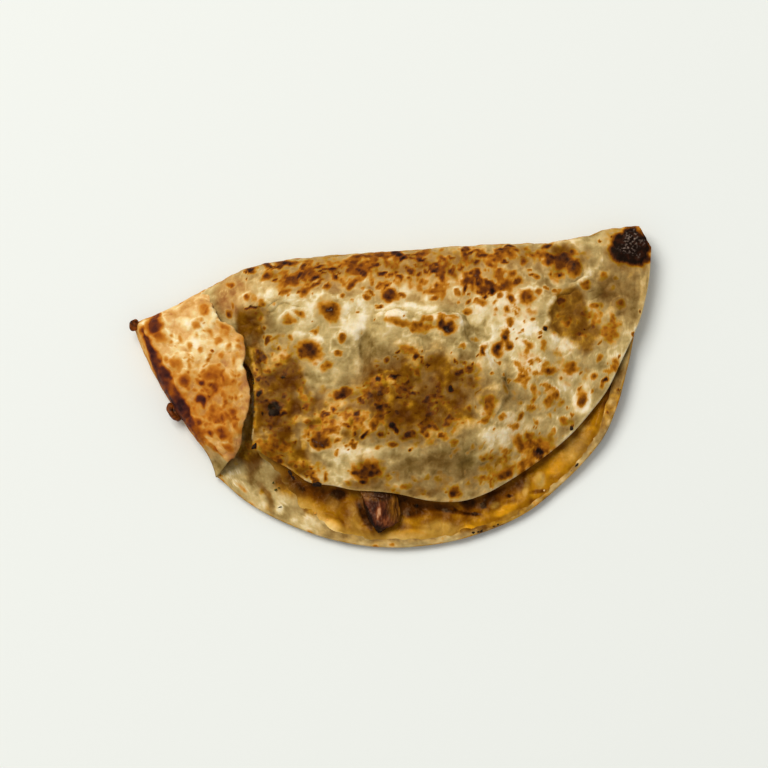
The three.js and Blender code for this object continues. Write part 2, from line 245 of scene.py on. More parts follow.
def layered(points, *layers):
    """Soft noise in layers: the amount, the size and the seed of each."""
    return sum(amount * grain(points, size, seed) for amount, size, seed in layers)


def away_from(outline, x, y):
    """Distance in plan from points to a line of straight pieces."""
    nearest = np.full(np.shape(x), np.inf)
    for a, b in zip(outline[:-1, :2], outline[1:, :2]):
        side = b - a
        share = np.clip(((x - a[0]) * side[0] + (y - a[1]) * side[1]) / max(side @ side, 1e-9), 0, 1)
        nearest = np.minimum(nearest, np.hypot(x - a[0] - share * side[0], y - a[1] - share * side[1]))
    return nearest


def is_inside(outline, x, y):
    inside = np.zeros(np.shape(x), bool)
    for a, b in zip(outline[:, :2], np.roll(outline[:, :2], -1, axis=0)):
        if a[1] == b[1]:
            continue
        crossed = (a[1] > y) != (b[1] > y)
        inside ^= crossed & (x < (b[0] - a[0]) * (y - a[1]) / (b[1] - a[1]) + a[0])
    return inside


OPEN_EDGE = np.vstack([UPPER_TUCKED.along(np.linspace(0, 1, 31)), UPPER_EDGE.along(np.linspace(0, 1, 91))])
UPPER_OUTLINE = np.vstack([OPEN_EDGE, FOLD.along(np.linspace(1, 0, 61))])
RIM_LINE = LOWER_EDGE.along(np.linspace(0, 1, 91))
BLOCK_LINE = BLOCK_OUTLINE.along(np.linspace(0, 1, 121))


def depth_inside(line, outline, x, y):
    """How far each point is from a line, negative outside the outline that the line belongs to."""
    return away_from(line, x, y) * np.where(is_inside(outline, x, y), 1, -1)


def inside_upper(x, y):
    """How far in from the upper leaf's open edge, negative outside."""
    return depth_inside(OPEN_EDGE, UPPER_OUTLINE, x, y)


def inside_block(x, y):
    return depth_inside(BLOCK_LINE, BLOCK_LINE, x, y)


def tip_lift(x):
    return TIP_LIFT * step(45, 100, x) ** 1.3


def lower_leaf(x, y):
    """Height of the lower leaf's middle."""
    rim = RIM_LIFT * (1 - step(0, RIM_WIDTH, away_from(RIM_LINE, x, y))) ** 1.5
    return SHEET / 2 + tip_lift(x) + rim


def ridge(form, x, y):
    middle_x, middle_y, turn, length, width, height = form
    along, off = turned_by(x - middle_x, y - middle_y, turn)
    return height * bell(along / length) * bell(off / width)


def mound(form, x, y):
    middle_x, middle_y, width, depth, height = form
    return height * bell(np.hypot((x - middle_x) / width, (y - middle_y) / depth))


def crown(x, y):
    """Height of the upper leaf's middle, leaving out the rounded fold."""
    fullness = 1 - np.minimum(1, np.abs(x / (HALF_LENGTH + 3))) ** 3.2
    fill = FILL_RISE * step(0, FILL_REACH, inside_upper(x, y))
    side = mix(BLOCK_FRONT, BLOCK_SIDE, step(-16, 0, y))
    block = BLOCK_HEIGHT * step(-side, 0.3 * side, inside_block(x, y))
    sunk_width = np.where(x < SUNK_CENTRE[0], SUNK_LEFT, SUNK_RIGHT)
    sunk = SUNK_HEIGHT * bell((x - SUNK_CENTRE[0]) / sunk_width)
    sunk *= bell((y - SUNK_CENTRE[1]) / SUNK_HALF_DEPTH)
    waves = sum(height * uneven(x, y, size, seed) for size, height, seed in WAVES)
    forms = ridge(VALLEY, x, y) + ridge(CREASE, x, y) + mound(TUCKED_LIFT, x, y) + mound(PROP, x, y)
    forms += mound(LEFT_BULGE, x, y)
    return TIP_HEIGHT + tip_lift(x) + fullness * (EDGE_RISE + fill + waves) + block - sunk + forms


def under_crown(x, y):
    """Height that the filling reaches at most, just under the upper leaf."""
    return crown(x, y) - SHEET * 0.62 - 0.3


def on_upper(t):
    tucked = UPPER_TUCKED.along(np.clip(t / CORNER, 0, 1))
    free = UPPER_EDGE.along(np.clip((t - CORNER) / (1 - CORNER), 0, 1))
    return np.where((t < CORNER)[..., None], tucked, free)


def on_lower(t):
    u = np.clip(t / FLAP_END, 0, 1)
    ahead = WALL_OUTSIDE.at(np.minimum(u + 1e-4, 1)) - WALL_OUTSIDE.at(np.maximum(u - 1e-4, 0))
    ahead /= np.linalg.norm(ahead, axis=-1, keepdims=True)
    inward = np.stack([-ahead[..., 1], ahead[..., 0], np.zeros_like(u)], -1)
    wall = WALL_OUTSIDE.at(u) + inward * (WALL_INSET * (1 - u**6))[..., None]
    free = LOWER_EDGE.along(np.clip((t - FLAP_END) / (1 - FLAP_END), 0, 1))
    return np.where((t > FLAP_END)[..., None], free, wall)


def seen(points):
    """Where points show to the photograph's camera: across, and up."""
    return points[..., 0], points[..., 1] * VIEW_SIN + points[..., 2] * VIEW_COS


# Marks of the hot pan on the upper leaf, as they show to the photograph's camera, in millimetres: across, up,
# half length, half width, turn in degrees, and how dark, where 0.4 is golden and 1 or more is burnt black
UPPER_MARKS = [
    # Charred tip, and the big brown blister beside the crease
    (88.6, 52.5, 7.4, 6.6, -15, 2.6), (88.6, 52.5, 9.2, 8.0, -15, 0.55), (63.4, 47.0, 5.4, 4.6, 30, 0.74),
    (67.4, 44.6, 3.6, 3.0, 30, 0.66), (58.6, 47.4, 2.6, 1.8, 0, 0.66), (63.3, 41.9, 1.0, 0.7, 0, 1.3),
    (77.9, 54.0, 0.7, 0.5, 0, 1.0), (81.0, 55.4, 0.8, 0.4, 10, 1.0), (83.1, 40.8, 1.0, 0.9, 0, 0.5),
    # Long brown marks along the fold
    (-38.6, 46.1, 5.0, 1.2, 5, 0.75), (-31.8, 45.1, 1.6, 0.8, 20, 0.85), (-27.3, 44.7, 2.8, 0.9, 15, 0.80),
    (-45.9, 41.0, 3.4, 1.6, 10, 0.62), (-42.5, 39.3, 2.0, 0.8, 0, 0.70), (-38.3, 40.4, 2.4, 1.2, 0, 0.72),
    (-34.1, 42.0, 2.2, 0.9, 12, 0.85), (-26.7, 42.7, 1.4, 0.8, 0, 0.95), (-29.2, 40.2, 2.6, 0.9, 18, 0.85),
    (-25.6, 41.9, 1.2, 0.7, 0, 0.90), (-22.4, 40.4, 1.6, 1.4, 0, 0.80), (-19.9, 42.4, 1.4, 0.7, 25, 0.90),
    (-34.6, 35.1, 1.2, 0.6, 40, 0.95), (-32.0, 35.9, 3.4, 1.6, 30, 0.58), (-39.1, 34.8, 2.4, 1.3, 20, 0.50),
    (-27.5, 38.5, 1.4, 0.9, 40, 0.80), (-60.4, 37.9, 1.6, 0.8, 10, 0.62), (-54.2, 41.6, 0.5, 0.5, 0, 1.0),
    (-54.0, 39.0, 0.6, 0.5, 0, 1.0),
    # Pale dough beside the flap
    (-53.9, 33.1, 1.2, 1.5, 0, 0.52), (-47.9, 30.8, 2.2, 1.5, 0, 0.50), (-52.0, 28.9, 2.2, 0.6, 5, 0.85),
    (-50.5, 26.6, 3.6, 2.5, 0, 0.52), (-60.7, 27.4, 1.6, 1.8, 0, 0.60), (-59.3, 30.5, 1.0, 1.4, 0, 0.50),
    (-33.9, 27.9, 2.0, 1.6, -10, 0.50), (-38.5, 24.8, 2.9, 2.0, 15, 0.50),
    (-42.5, 17.4, 1.0, 1.9, -20, 0.56), (-37.7, 18.3, 1.6, 1.4, 0, 0.48), (-27.4, 21.5, 1.2, 1.5, 0, 0.42),
    (-23.1, 28.7, 4.2, 4.0, 0, 0.60), (-22.9, 28.6, 2.0, 1.7, 30, 0.98), (-17.9, 19.0, 1.6, 2.0, -20, 0.68),
    (-19.9, 12.9, 1.5, 1.3, 0, 0.56), (-30.3, 13.8, 5.2, 4.2, -20, 0.68), (-24.4, 8.1, 2.5, 2.0, 0, 0.46),
    (-47.6, 21.7, 0.9, 0.9, 0, 0.64), (-47.9, 11.8, 2.3, 3.0, 0, 0.62), (-50.1, 7.3, 0.6, 0.9, 0, 0.95),
    (-41.5, 34.6, 0.8, 0.8, 0, 0.50),
    # Scorched left side
    (-40.2, 4.5, 4.6, 5.6, 10, 0.60), (-40.2, 3.0, 1.4, 1.2, 0, 1.15), (-49.3, 3.3, 2.2, 2.0, 0, 0.66),
    (-33.4, 1.0, 1.9, 2.4, 0, 0.60), (-48.5, -2.4, 1.4, 1.7, -20, 1.10), (-42.8, -7.6, 3.3, 4.0, 10, 1.4),
    (-38.6, -9.0, 1.8, 1.0, -15, 1.25), (-47.6, -9.3, 1.0, 1.1, 0, 1.10), (-36.0, -7.5, 1.3, 0.9, -40, 1.0),
    (-29.5, -5.8, 1.9, 2.8, 0, 0.52), (-24.5, -9.3, 0.9, 0.8, 0, 0.95), (-21.8, -7.5, 1.3, 0.7, -20, 0.98),
    (-12.2, -9.5, 2.0, 0.8, 20, 0.92), (-26.4, -18.9, 3.6, 3.1, 0, 0.74), (-41.4, -20.4, 5.6, 4.2, 0, 0.58),
    (-45.9, -22.6, 5.0, 3.4, -20, 0.54), (-50.4, -21.4, 1.8, 1.0, 50, 1.20),
    (-39.8, -24.7, 0.9, 0.9, 0, 0.9), (-35.9, -20.0, 0.9, 1.0, 0, 0.92),
    (-37.4, -32.2, 1.7, 0.6, -55, 1.20), (-32.3, -31.9, 1.1, 0.8, -20, 1.1),
    (-30.9, -30.5, 3.8, 2.0, -20, 0.60), (-46.0, -12.9, 0.8, 1.6, 0, 0.62),
    (-18.0, -3.0, 4.4, 2.5, 5, 0.68),
    # Browned edge of the block of filling
    (3.5, 23.9, 6.6, 1.7, -8, 0.56), (11.5, 22.0, 3.6, 1.6, -10, 0.50), (19.7, 22.0, 3.7, 3.5, 10, 0.68),
    (19.2, 21.6, 1.9, 2.4, -30, 0.92), (-0.7, 34.2, 3.9, 2.5, 0, 0.66), (-4.7, 29.7, 1.5, 0.9, 20, 0.90),
    # Dark flecks over the oily middle
    (1.9, 12.9, 0.9, 0.7, 0, 0.98), (8.4, 11.4, 1.5, 1.4, 0, 0.86), (5.4, 13.8, 4.0, 1.6, -8, 0.52),
    (12.5, 8.3, 1.1, 0.9, 0, 0.98), (14.7, 9.8, 3.0, 2.4, 60, 0.52), (-5.9, 8.1, 0.9, 0.9, 0, 0.98),
    (-5.7, 10.4, 1.4, 1.2, 0, 0.52), (-3.1, 6.2, 1.1, 1.0, -40, 0.74), (6.7, 7.0, 1.5, 1.2, 0, 0.78),
    (1.7, 4.5, 3.0, 1.3, -20, 0.80), (-3.7, 2.5, 1.5, 0.8, -50, 1.08), (17.1, 1.6, 1.0, 1.4, 0, 1.0),
    (6.8, 0.5, 1.3, 0.9, -40, 0.90), (8.1, -1.5, 1.1, 1.1, 0, 0.90), (2.6, -3.0, 2.4, 0.9, 0, 0.90),
    (21.8, -0.4, 1.7, 1.9, 30, 1.12), (-7.9, 0.8, 2.3, 1.6, 0, 0.56), (-10.5, -5.5, 1.9, 1.1, 0, 0.72),
    (-4.5, -7.2, 2.7, 1.4, 15, 0.78), (-1.8, -9.3, 1.3, 0.8, 0, 1.12), (16.9, -6.9, 1.2, 1.0, 0, 0.94),
    (8.5, -9.1, 2.2, 0.9, 15, 0.84), (13.3, -9.7, 1.3, 1.1, 0, 0.78), (14.2, -3.5, 1.7, 1.2, 0, 0.62),
    (3.1, -11.7, 1.8, 1.5, 0, 0.78), (1.1, -14.5, 2.6, 1.5, -45, 0.84), (-9.3, -16.2, 1.9, 1.1, 60, 0.94),
    (-4.2, -16.8, 1.8, 1.6, 0, 0.84), (6.0, -16.8, 3.5, 2.4, 20, 0.72), (0.0, -19.9, 1.7, 1.3, 20, 0.90),
    (16.9, -17.2, 1.5, 1.1, 0, 0.84), (12.7, -13.7, 2.6, 1.5, 0, 0.62), (5.7, -22.0, 0.9, 0.6, 0, 1.15),
    (-4.8, -21.6, 1.3, 1.0, 0, 0.52), (21.2, -13.1, 1.5, 1.0, 0, 0.64), (24.5, 5.1, 2.6, 2.2, 0, 0.76),
    (20.4, 8.6, 0.5, 0.4, 0, 0.95), (27.8, 6.9, 2.5, 2.1, 30, 0.72), (29.9, 0.3, 3.2, 1.6, 40, 0.56),
    # Right of the block
    (26.8, 35.7, 2.4, 1.2, 75, 0.86), (31.6, 38.5, 1.2, 1.0, 0, 0.92), (31.9, 35.4, 0.9, 0.7, 0, 0.95),
    (33.6, 33.9, 1.1, 0.9, -30, 1.05), (36.2, 36.6, 2.1, 1.3, -70, 0.98), (32.8, 31.7, 1.9, 1.4, 0, 0.54),
    (39.8, 34.3, 1.7, 1.2, 80, 0.60), (44.1, 32.9, 2.8, 1.2, -60, 0.62), (49.5, 33.2, 2.9, 2.2, 10, 0.58),
    (28.2, 31.5, 1.2, 0.8, 40, 0.62), (28.0, 28.1, 1.7, 1.4, 0, 0.50), (39.3, 28.4, 0.9, 1.1, 0, 0.44),
    (42.7, 28.4, 1.1, 1.5, 0, 0.50), (46.1, 27.8, 1.0, 0.9, 0, 0.56), (51.6, 26.1, 0.9, 0.8, 0, 0.54),
    (43.5, 24.1, 1.6, 1.4, 0, 0.54), (49.0, 20.9, 0.8, 0.7, 0, 0.50), (56.5, 22.1, 1.2, 1.1, 40, 1.25),
    (54.6, 18.0, 0.6, 0.5, 0, 1.1), (30.5, 17.6, 2.3, 0.9, 0, 0.46), (33.6, 12.8, 2.6, 1.2, 60, 0.66),
    (39.3, 14.5, 2.0, 3.0, 10, 0.80), (41.5, 17.6, 1.2, 1.5, 30, 1.0), (42.9, 15.4, 1.9, 1.5, 50, 0.72),
    (38.7, 9.4, 1.0, 0.8, 0, 0.44), (36.7, 5.0, 0.9, 0.8, 0, 0.54), (43.4, 3.2, 1.0, 0.6, 0, 1.15),
    (42.1, 20.4, 2.0, 1.0, 0, 0.52), (55.7, 15.0, 0.9, 2.1, 0, 0.46), (51.2, 9.8, 1.5, 1.1, 0, 0.52),
    (54.3, 9.7, 0.9, 0.8, 0, 0.52), (48.3, 6.0, 2.8, 0.9, -50, 0.50), (57.7, 6.3, 2.5, 2.1, 0, 0.60),
    (53.6, 4.9, 1.2, 0.9, 0, 0.50), (52.6, -0.8, 1.1, 2.0, 10, 0.46), (25.8, 15.6, 0.8, 0.9, 0, 0.56),
    (57.6, -4.6, 2.0, 3.0, -10, 0.54), (35.8, -6.3, 3.3, 4.2, 5, 0.57), (70.3, -4.1, 2.2, 3.3, 0, 0.64),
    (71.4, 22.2, 1.0, 0.8, 0, 1.15), (75.3, 30.3, 1.9, 1.8, 0, 0.50), (84.5, 31.0, 2.4, 2.0, 0, 0.52),
    (72.4, 38.6, 2.6, 2.2, 40, 0.54), (71.4, 27.0, 2.4, 4.2, 0, 0.58), (68.6, 19.8, 4.4, 1.9, -24, 0.60),
    (62.6, 31.6, 2.6, 1.6, 20, 0.64), (64.8, 24.6, 3.2, 2.4, -10, 0.60), (75.4, 23.6, 1.8, 3.4, 10, 0.54),
    (81.4, 36.8, 1.6, 1.2, 0, 0.40), (78.6, 41.6, 1.6, 1.2, 30, 0.40), (82.6, 24.8, 1.2, 3.4, 10, 0.46),
    (80.6, 21.0, 4.0, 4.4, 20, 0.44), (76.5, 10.7, 1.5, 1.4, 0, 0.52), (66.0, 8.0, 3.4, 2.6, 30, 0.50),
    (44.9, -13.3, 2.8, 1.3, 0, 0.48), (50.8, -7.4, 1.7, 1.2, 0, 0.54), (52.7, -24.3, 3.0, 2.4, -20, 0.72),
    (52.9, -24.8, 1.2, 1.0, 0, 0.95), (42.2, -31.0, 4.0, 2.6, 30, 0.62), (35.6, -25.2, 3.0, 1.4, -10, 0.48),
    (42.4, -23.4, 2.2, 1.1, -20, 0.48), (54.6, -22.6, 2.6, 1.8, -35, 0.86),
    (48.6, -27.6, 3.4, 1.6, 30, 0.5), (23.2, -38.3, 2.9, 2.6, 20, 0.66), (23.0, -39.0, 1.2, 1.0, 0, 0.85),
    (-45.8, -4.6, 1.5, 1.2, 0, 0.92), (-40.0, -10.2, 1.7, 1.2, 0, 0.90), (-42.6, -7.6, 4.2, 5.2, 10, 0.64),
    # Along the open edge
    (-8.5, -30.2, 6.2, 5.2, 30, 0.66), (-12.5, -30.6, 1.4, 1.1, 0, 0.95), (-10.2, -33.8, 2.6, 1.4, 0, 0.80),
    (5.3, -36.4, 2.5, 1.4, 0, 0.48), (17.1, -33.8, 1.8, 1.1, 0, 0.54), (-1.3, -31.8, 1.2, 1.0, 0, 0.54),
    (10.5, -39.2, 1.7, 0.8, -8, 0.54), (33.6, -32.4, 0.8, 0.7, 0, 0.50), (92.4, 27.6, 0.8, 0.6, 0, 1.1),
    (89.7, 19.7, 0.7, 0.8, 0, 1.1), (84.5, 11.8, 0.7, 0.6, 0, 1.0), (79.2, 2.5, 1.2, 0.8, 40, 1.15),
    (66.0, -14.6, 0.9, 0.7, 40, 1.15), (66.2, -9.8, 0.8, 1.1, 0, 0.85), (64.4, -12.4, 2.4, 1.5, 0, 0.52),
]

# Marks scattered over fields: middle across and up, half length and half depth, turn of the field, how many,
# smallest and largest half length, smallest and largest length by width, lean and its spread, lightest and
# darkest, and the seed
UPPER_FIELDS = [
    (6, 46.5, 62, 3.4, 4, 60, 1.0, 3.2, 1.9, 3.8, 4, 12, 0.56, 0.92, 1),
    (14, 41.0, 50, 5.0, 3, 60, 0.9, 2.4, 1.2, 2.4, 4, 40, 0.44, 0.80, 2),
    (16, 35.5, 42, 4.5, -2, 40, 0.7, 2.0, 1.1, 1.8, 0, 60, 0.40, 0.70, 3),
    (62, 14.0, 22, 26, -20, 60, 0.6, 2.1, 1.0, 2.0, 60, 90, 0.30, 0.58, 4),
    (10, -3.0, 25, 17, 0, 60, 0.6, 1.7, 1.1, 2.4, 0, 90, 0.50, 0.90, 5),
    (-42, -1.0, 10, 19, 5, 40, 0.8, 2.2, 1.0, 2.0, 70, 60, 0.44, 0.80, 6),
    (-22, -14.0, 15, 10, -15, 50, 0.6, 1.8, 1.0, 2.2, 20, 60, 0.38, 0.72, 7),
    (6, -34.0, 46, 4.5, -2, 30, 0.6, 1.6, 1.0, 2.0, 0, 50, 0.34, 0.62, 8),
    (-30, 22.0, 22, 14, 15, 16, 0.4, 1.0, 1.0, 1.6, 30, 60, 0.26, 0.50, 9),
    (44, -16.0, 26, 16, 35, 50, 0.6, 2.0, 1.0, 2.0, 30, 70, 0.30, 0.60, 10),
    (20, 4.0, 62, 40, 0, 60, 0.2, 0.45, 1.0, 1.4, 0, 90, 0.70, 1.05, 11),
    (-33, -29.0, 16, 4.0, -33, 24, 0.7, 2.0, 1.0, 2.0, -20, 40, 0.46, 0.80, 12),
]

# Soft washes over the upper leaf: across, up, half length, half depth, turn, amount. Where fat has soaked in:
UPPER_WET = [
    (10, -3, 27, 17, 0, 1.0), (-20, -12, 17, 11, 0, 0.8), (-42, -3, 11, 20, 0, 1.0),
    (-40, -24, 14, 7, -25, 1.0), (79, 22, 7, 7, 0, 0.45), (-49, 27, 6, 6, 0, 0.75),
    (15, -31, 22, 8, 0, 0.35), (8, 46, 62, 4, 4, 0.4), (8, 17, 13, 4, -8, 0.1), (44, -12, 16, 12, 30, 0.2),
    # Across -51, the band beside the flap's edge is partly painted shade.
    (64, 46, 8, 7, 0, 0.7), (30, 30, 8, 3, 0, 0.1), (-8, -30, 7, 6, 0, 0.5), (-51, 0, 3.6, 30, 0, 1.0),
    (0, -37, 22, 3, 0, 0.7), (86, 38, 12, 16, 0, 0.5), (20, -41, 34, 2.4, 0, 0.4),
    (64, -14, 16, 2, 48, 0.4), (-54, 24, 3, 8, 0, 0.8),
]
# Where it is lightly toasted all over:
UPPER_GOLDEN = [
    (11, 23.6, 12, 2.3, -1, 0.44), (68, 24, 9, 8, -30, 0.3), (-16, -12, 9, 7, 0, 0.46),
    (8, 46.5, 64, 4.5, 4, 0.50),
    (22, 39.5, 27, 5, -2, 0.54), (-26, 41.5, 18, 4.5, 12, 0.50), (-42, -3, 11, 20, 0, 0.54),
    (-22, -11, 15, 10, -10, 0.50), (8, -6, 24, 15, 0, 0.58), (-38, -26, 18, 6, -28, 0.48),
    (70, 18, 12, 10, 0, 0.24), (58, 4, 20, 16, 40, 0.20), (10, -35, 26, 4, -2, 0.24),
    (80, 22, 6, 8, 0, 0.34), (-9, -31, 8, 6, 0, 0.36), (48, -24, 14, 6, 35, 0.46),
    (38, -30, 9, 4, 25, 0.42), (64, 46, 8, 7, 0, 0.34), (14, 22.5, 11, 2.6, -4, 0.42),
    (44, 30, 12, 6, 0, 0.2), (26, 3, 8, 7, 40, 0.42), (-50, 30, 6, 5, 0, 0.26), (65, 28, 7, 9, 0, 0.4),
]
# Where the bare dough itself is golden:
UPPER_GOLD = [
    (0, 42, 62, 8, 4, 0.5), (-58, 34, 8, 8, 0, 0.8), (20, 36, 44, 6, 0, 0.4), (-22, -10, 12, 8, 0, 0.4),
]
# Where it is paler, or grey with ash on the burnt tip, partly painted highlight on ridges, edges and glints;
# and where it is duller, partly painted shade on slopes, in hollows and on the tip:
UPPER_PALE_AND_LIT = [
    (88.6, 53.4, 5.0, 3.6, -10, 1.0), (-22.9, 28.6, 1.6, 1.4, 30, 0.8), (19.2, 21.6, 1.6, 2.0, -30, 0.8),
    (9, 15.5, 11, 3.2, 0, 0.3), (26.8, 35.7, 1.2, 1.6, 0, 0.7), (36.2, 36.8, 1.0, 1.6, 0, 0.5),
    (-36, 31, 12, 4, 10, 0.6), (-30, 21, 9, 6, 0, 0.3), (31, 27.5, 6, 4, 0, 0.8), (46, 25, 9, 13, 30, 0.85),
    (-14, 26, 7, 7, 0, 0.55), (40, -17, 12, 4, 30, 0.6), (-29, -21, 7, 3, 0, 0.5), (-16, -22, 8, 3, 0, 0.8),
    (-34, -12, 3, 3, 0, 0.8), (70, -2, 12, 5, 55, 0.6), (93, 34, 2, 12, -10, 0.6), (30, -15, 5, 5, 0, 0.5),
    (6, 27.6, 14, 2.4, -6, 0.6), (20, -41, 40, 2, 0, 0.4), (27, 41.6, 5, 1.6, 0, 0.8),
    (48, 36, 8, 3, 0, 0.5), (61, 15.5, 6, 2.4, -10, 0.7), (-52, 35, 8, 4, 10, 0.5),
    (4, 36, 10, 2.4, 0, 0.4), (-40, 10, 4, 4, 0, 0.4), (38, 10, 4, 8, 20, 0.6), (-24, 4, 8, 3, 0, 0.5),
    (-19, -13, 13, 7, -8, 0.42), (-38, -25, 12, 4, -28, 0.25), (50, 12, 8, 7, 0, 0.6),
    (62, 2, 8, 4, 40, 0.4),
]
UPPER_DULL_AND_SHADED = [
    (86, 38, 12, 16, 0, 0.32), (20, -31, 26, 10, 4, 0.56), (44, -4, 6, 9, 10, 0.4), (8, 13, 14, 6, -5, 0.1),
    (-9, 12, 5, 10, 10, 0.35), (-34, 1, 7, 4, 0, 0.5), (-60, 30, 6, 5, 0, 0.5), (57, 38.5, 3, 2.6, 0, 0.6),
    (-42, 29, 5, 4, 0, 0.5), (-30, -1, 5, 3, 0, 0.5), (60, -14, 16, 4, 48, 0.16), (-44, 16, 4, 7, 0, 0.3),
    (-42, -2, 8, 14, 0, 0.45), (14, -4, 16, 9, 10, 0.35), (29, 22, 3, 9, 10, 0.4), (70, 27, 7, 6, 0, 0.2),
    (0, 43, 56, 3, 4, 0.2), (46, -24, 12, 4, 38, 0.2),
]
# Outline of the sunk place, as it shows: fat has pooled in it
SUNK_LINE = Line([
    (60.8, 34.2), (58.2, 31), (57.5, 27), (57.7, 23), (58.8, 20), (61.6, 18), (65, 18.2), (68, 16.0),
    (70, 13.0), (73.6, 12.6), (75.4, 16), (78.4, 19), (77, 23), (73.4, 25), (72.8, 30), (71.6, 35),
    (68.4, 38), (64.4, 37.4),
], closed=True).along(np.linspace(0, 1, 61))
# Folded ridges and cracks that show on the upper leaf: the points of each, its half width, and its height
UPPER_CREASES = [
    (((-2.8, 24.2), (-3.4, 27.4), (1, 28.3), (4.6, 28.4)), 0.6, -0.5),
    (((8, 27.2), (14, 26.9), (20, 27.6), (24, 28.9)), 0.6, -0.4),
    (((-1.6, 22.2), (-1, 26.4), (4, 26.6), (6.4, 25.2), (11, 25.5), (17, 25.3), (23.4, 26.3), (24.4, 23),
      (23.6, 17)), 0.5, 0.42),
    (((-45, 29.6), (-42.5, 32.2)), 0.35, -0.6),
    (((-45.4, 27.2), (-43, 28.4), (-39.3, 30.7), (-34, 30.6)), 0.5, -0.5),
    (((-55.5, 29.4), (-49, 29.6)), 0.6, -0.7), (((-13.4, 21), (-12.8, 14), (-13.2, 7)), 1.2, 0.38),
    (((-12, 18), (-10.4, 9)), 1.6, -0.4), (((-32.9, -0.6), (-33.2, -6), (-32.4, -12)), 0.8, 0.4),
    (((-36.6, 0), (-36.4, -6)), 1.6, -0.4), (((-29, -2.6), (-24, 0.6), (-22, 0.4)), 1.0, 0.3),
    (((-30, 0.4), (-27, -1.2), (-22.4, -0.6), (-15, 0.6)), 0.8, -0.35),
    (((-52.2, 14), (-51, 8), (-50.4, -2), (-50.4, -14)), 0.7, 0.4),
    (((40.2, 9), (40.6, 4), (38.9, -0.4)), 0.7, 0.4), (((42, 9), (42.6, 2), (41.4, -6)), 1.6, -0.4),
    (((28, 9.6), (32.4, 8.2), (33, 5)), 0.6, 0.4),
    (((27.4, 26), (27, 19), (29.4, 14), (31.4, 11)), 1.0, -0.4),
    (((28.8, 18.6), (32.6, 18.4), (35, 15.6), (35.2, 12)), 0.5, 0.4),
    (((33, -9), (32.6, -4), (34.4, -0.4), (37.4, -0.6), (39.4, -4), (38.6, -8.6), (36.4, -11)), 0.5, 0.45),
    (((76.6, 47.6), (72.4, 41.4), (66.4, 37.8), (60.8, 33.8), (58.4, 29.4)), 0.8, 0.55),
    (((57.6, 31), (57.4, 24), (60, 19), (64, 16.8)), 1.0, 0.35),
    (((-9, -25), (-4.4, -27.4), (-3.4, -31)), 0.7, 0.35),
    (((49, -21), (52.6, -23.4), (56, -24.6)), 0.6, 0.35),
]

# The same lists for the turned-over flap
FLAP_MARKS = [
    (-88.0, 22.8, 3.4, 3.6, 0, 0.98), (-86.4, 19.4, 3.4, 2.4, -40, 0.62), (-87.0, 25.4, 2.2, 1.6, 0, 0.70),
    (-69.8, 29.2, 1.8, 3.0, 20, 0.44), (-69.0, 27.8, 0.9, 1.6, 20, 0.58),
    (-72.4, 22.4, 1.4, 1.7, -45, 0.40), (-67.4, 20.2, 1.2, 2.1, 30, 0.44), (-64.4, 17.4, 1.5, 1.7, 0, 0.44),
    (-62.4, 22.4, 2.6, 1.2, -42, 0.52), (-78.0, 17.6, 0.9, 1.6, 0, 0.38), (-75.0, 14.5, 1.2, 1.5, 0, 0.36),
    (-81.4, 18.8, 0.8, 0.7, 0, 0.40), (-82.2, 16.0, 0.9, 0.8, 0, 0.34), (-66.3, 13.2, 0.5, 0.9, -20, 1.0),
    (-67.6, 10.6, 0.8, 1.5, -15, 0.56), (-70.4, 14.2, 0.8, 1.5, -30, 0.40),
    (-63.0, 12.0, 0.9, 1.7, -30, 0.40), (-79.4, 8.8, 1.6, 2.3, 0, 0.50), (-74.6, 8.2, 1.0, 1.5, 0, 0.42),
    (-82.6, 9.6, 1.0, 1.8, 30, 0.42), (-60.6, 14.6, 0.9, 1.4, 0, 0.36), (-58.0, 10.0, 1.2, 3.0, 0, 0.36),
    (-56.4, 17.6, 1.2, 1.0, 0, 0.44), (-71.6, 18.2, 0.9, 1.3, 0, 0.34), (-66.0, 4.2, 5.0, 2.5, 0, 0.54),
    (-69.6, 1.6, 2.2, 1.5, 0, 0.68), (-76.0, 2.4, 2.6, 3.0, -20, 0.54), (-62.2, 4.2, 1.2, 2.4, 0, 0.58),
    (-65.8, 1.2, 1.8, 1.0, 0, 0.62), (-70.6, -4.8, 2.5, 2.3, 20, 0.70), (-67.9, -3.6, 0.9, 1.0, 0, 0.62),
    (-61.6, -5.4, 1.0, 2.2, 0, 0.52), (-58.4, -9.2, 1.7, 2.4, -20, 0.50), (-62.0, -11.2, 1.4, 3.6, 0, 0.52),
    (-66.8, -11.0, 1.3, 2.6, 10, 0.46), (-72.0, -12.6, 2.3, 2.2, 0, 0.56),
    (-62.0, -16.6, 3.0, 1.9, 0, 0.56), (-66.4, -16.9, 1.6, 1.1, 0, 0.60), (-57.4, -13.6, 1.2, 2.6, 0, 0.42),
    (-60.6, -21.2, 2.6, 1.3, -20, 0.48), (-75.6, -7.6, 1.8, 1.8, 0, 0.62), (-56.6, -3.2, 1.1, 2.4, 0, 0.44),
]
FLAP_FIELDS = [
    (-68, -6, 13, 15, -30, 40, 0.8, 1.8, 1.0, 2.2, 60, 40, 0.38, 0.52, 21),
    (-68, 14, 13, 14, -40, 26, 0.6, 1.4, 1.0, 1.9, 60, 50, 0.26, 0.38, 22),
]
FLAP_GOLDEN = [
    (-66, 10, 15, 12, -30, 0.18), (-68, 2, 13, 6, -10, 0.42), (-68, -12, 13, 12, -40, 0.40),
    (-84, 8, 5, 18, 28, 0.28), (-69, 20, 9, 8, -30, 0.14), (-58, 20, 5, 8, 20, 0.22),
]
FLAP_WET = [(-56, -22, 4, 5, 0, 0.15)]
FLAP_PALE = [
    (-74, 22, 10, 7, 20, 0.6), (-66, 18, 8, 8, 0, 0.5), (-81, 12, 3, 4, 0, 0.5), (-58, 2, 3, 9, 0, 0.5),
    (-66, 8, 8, 7, 0, 0.35),
]
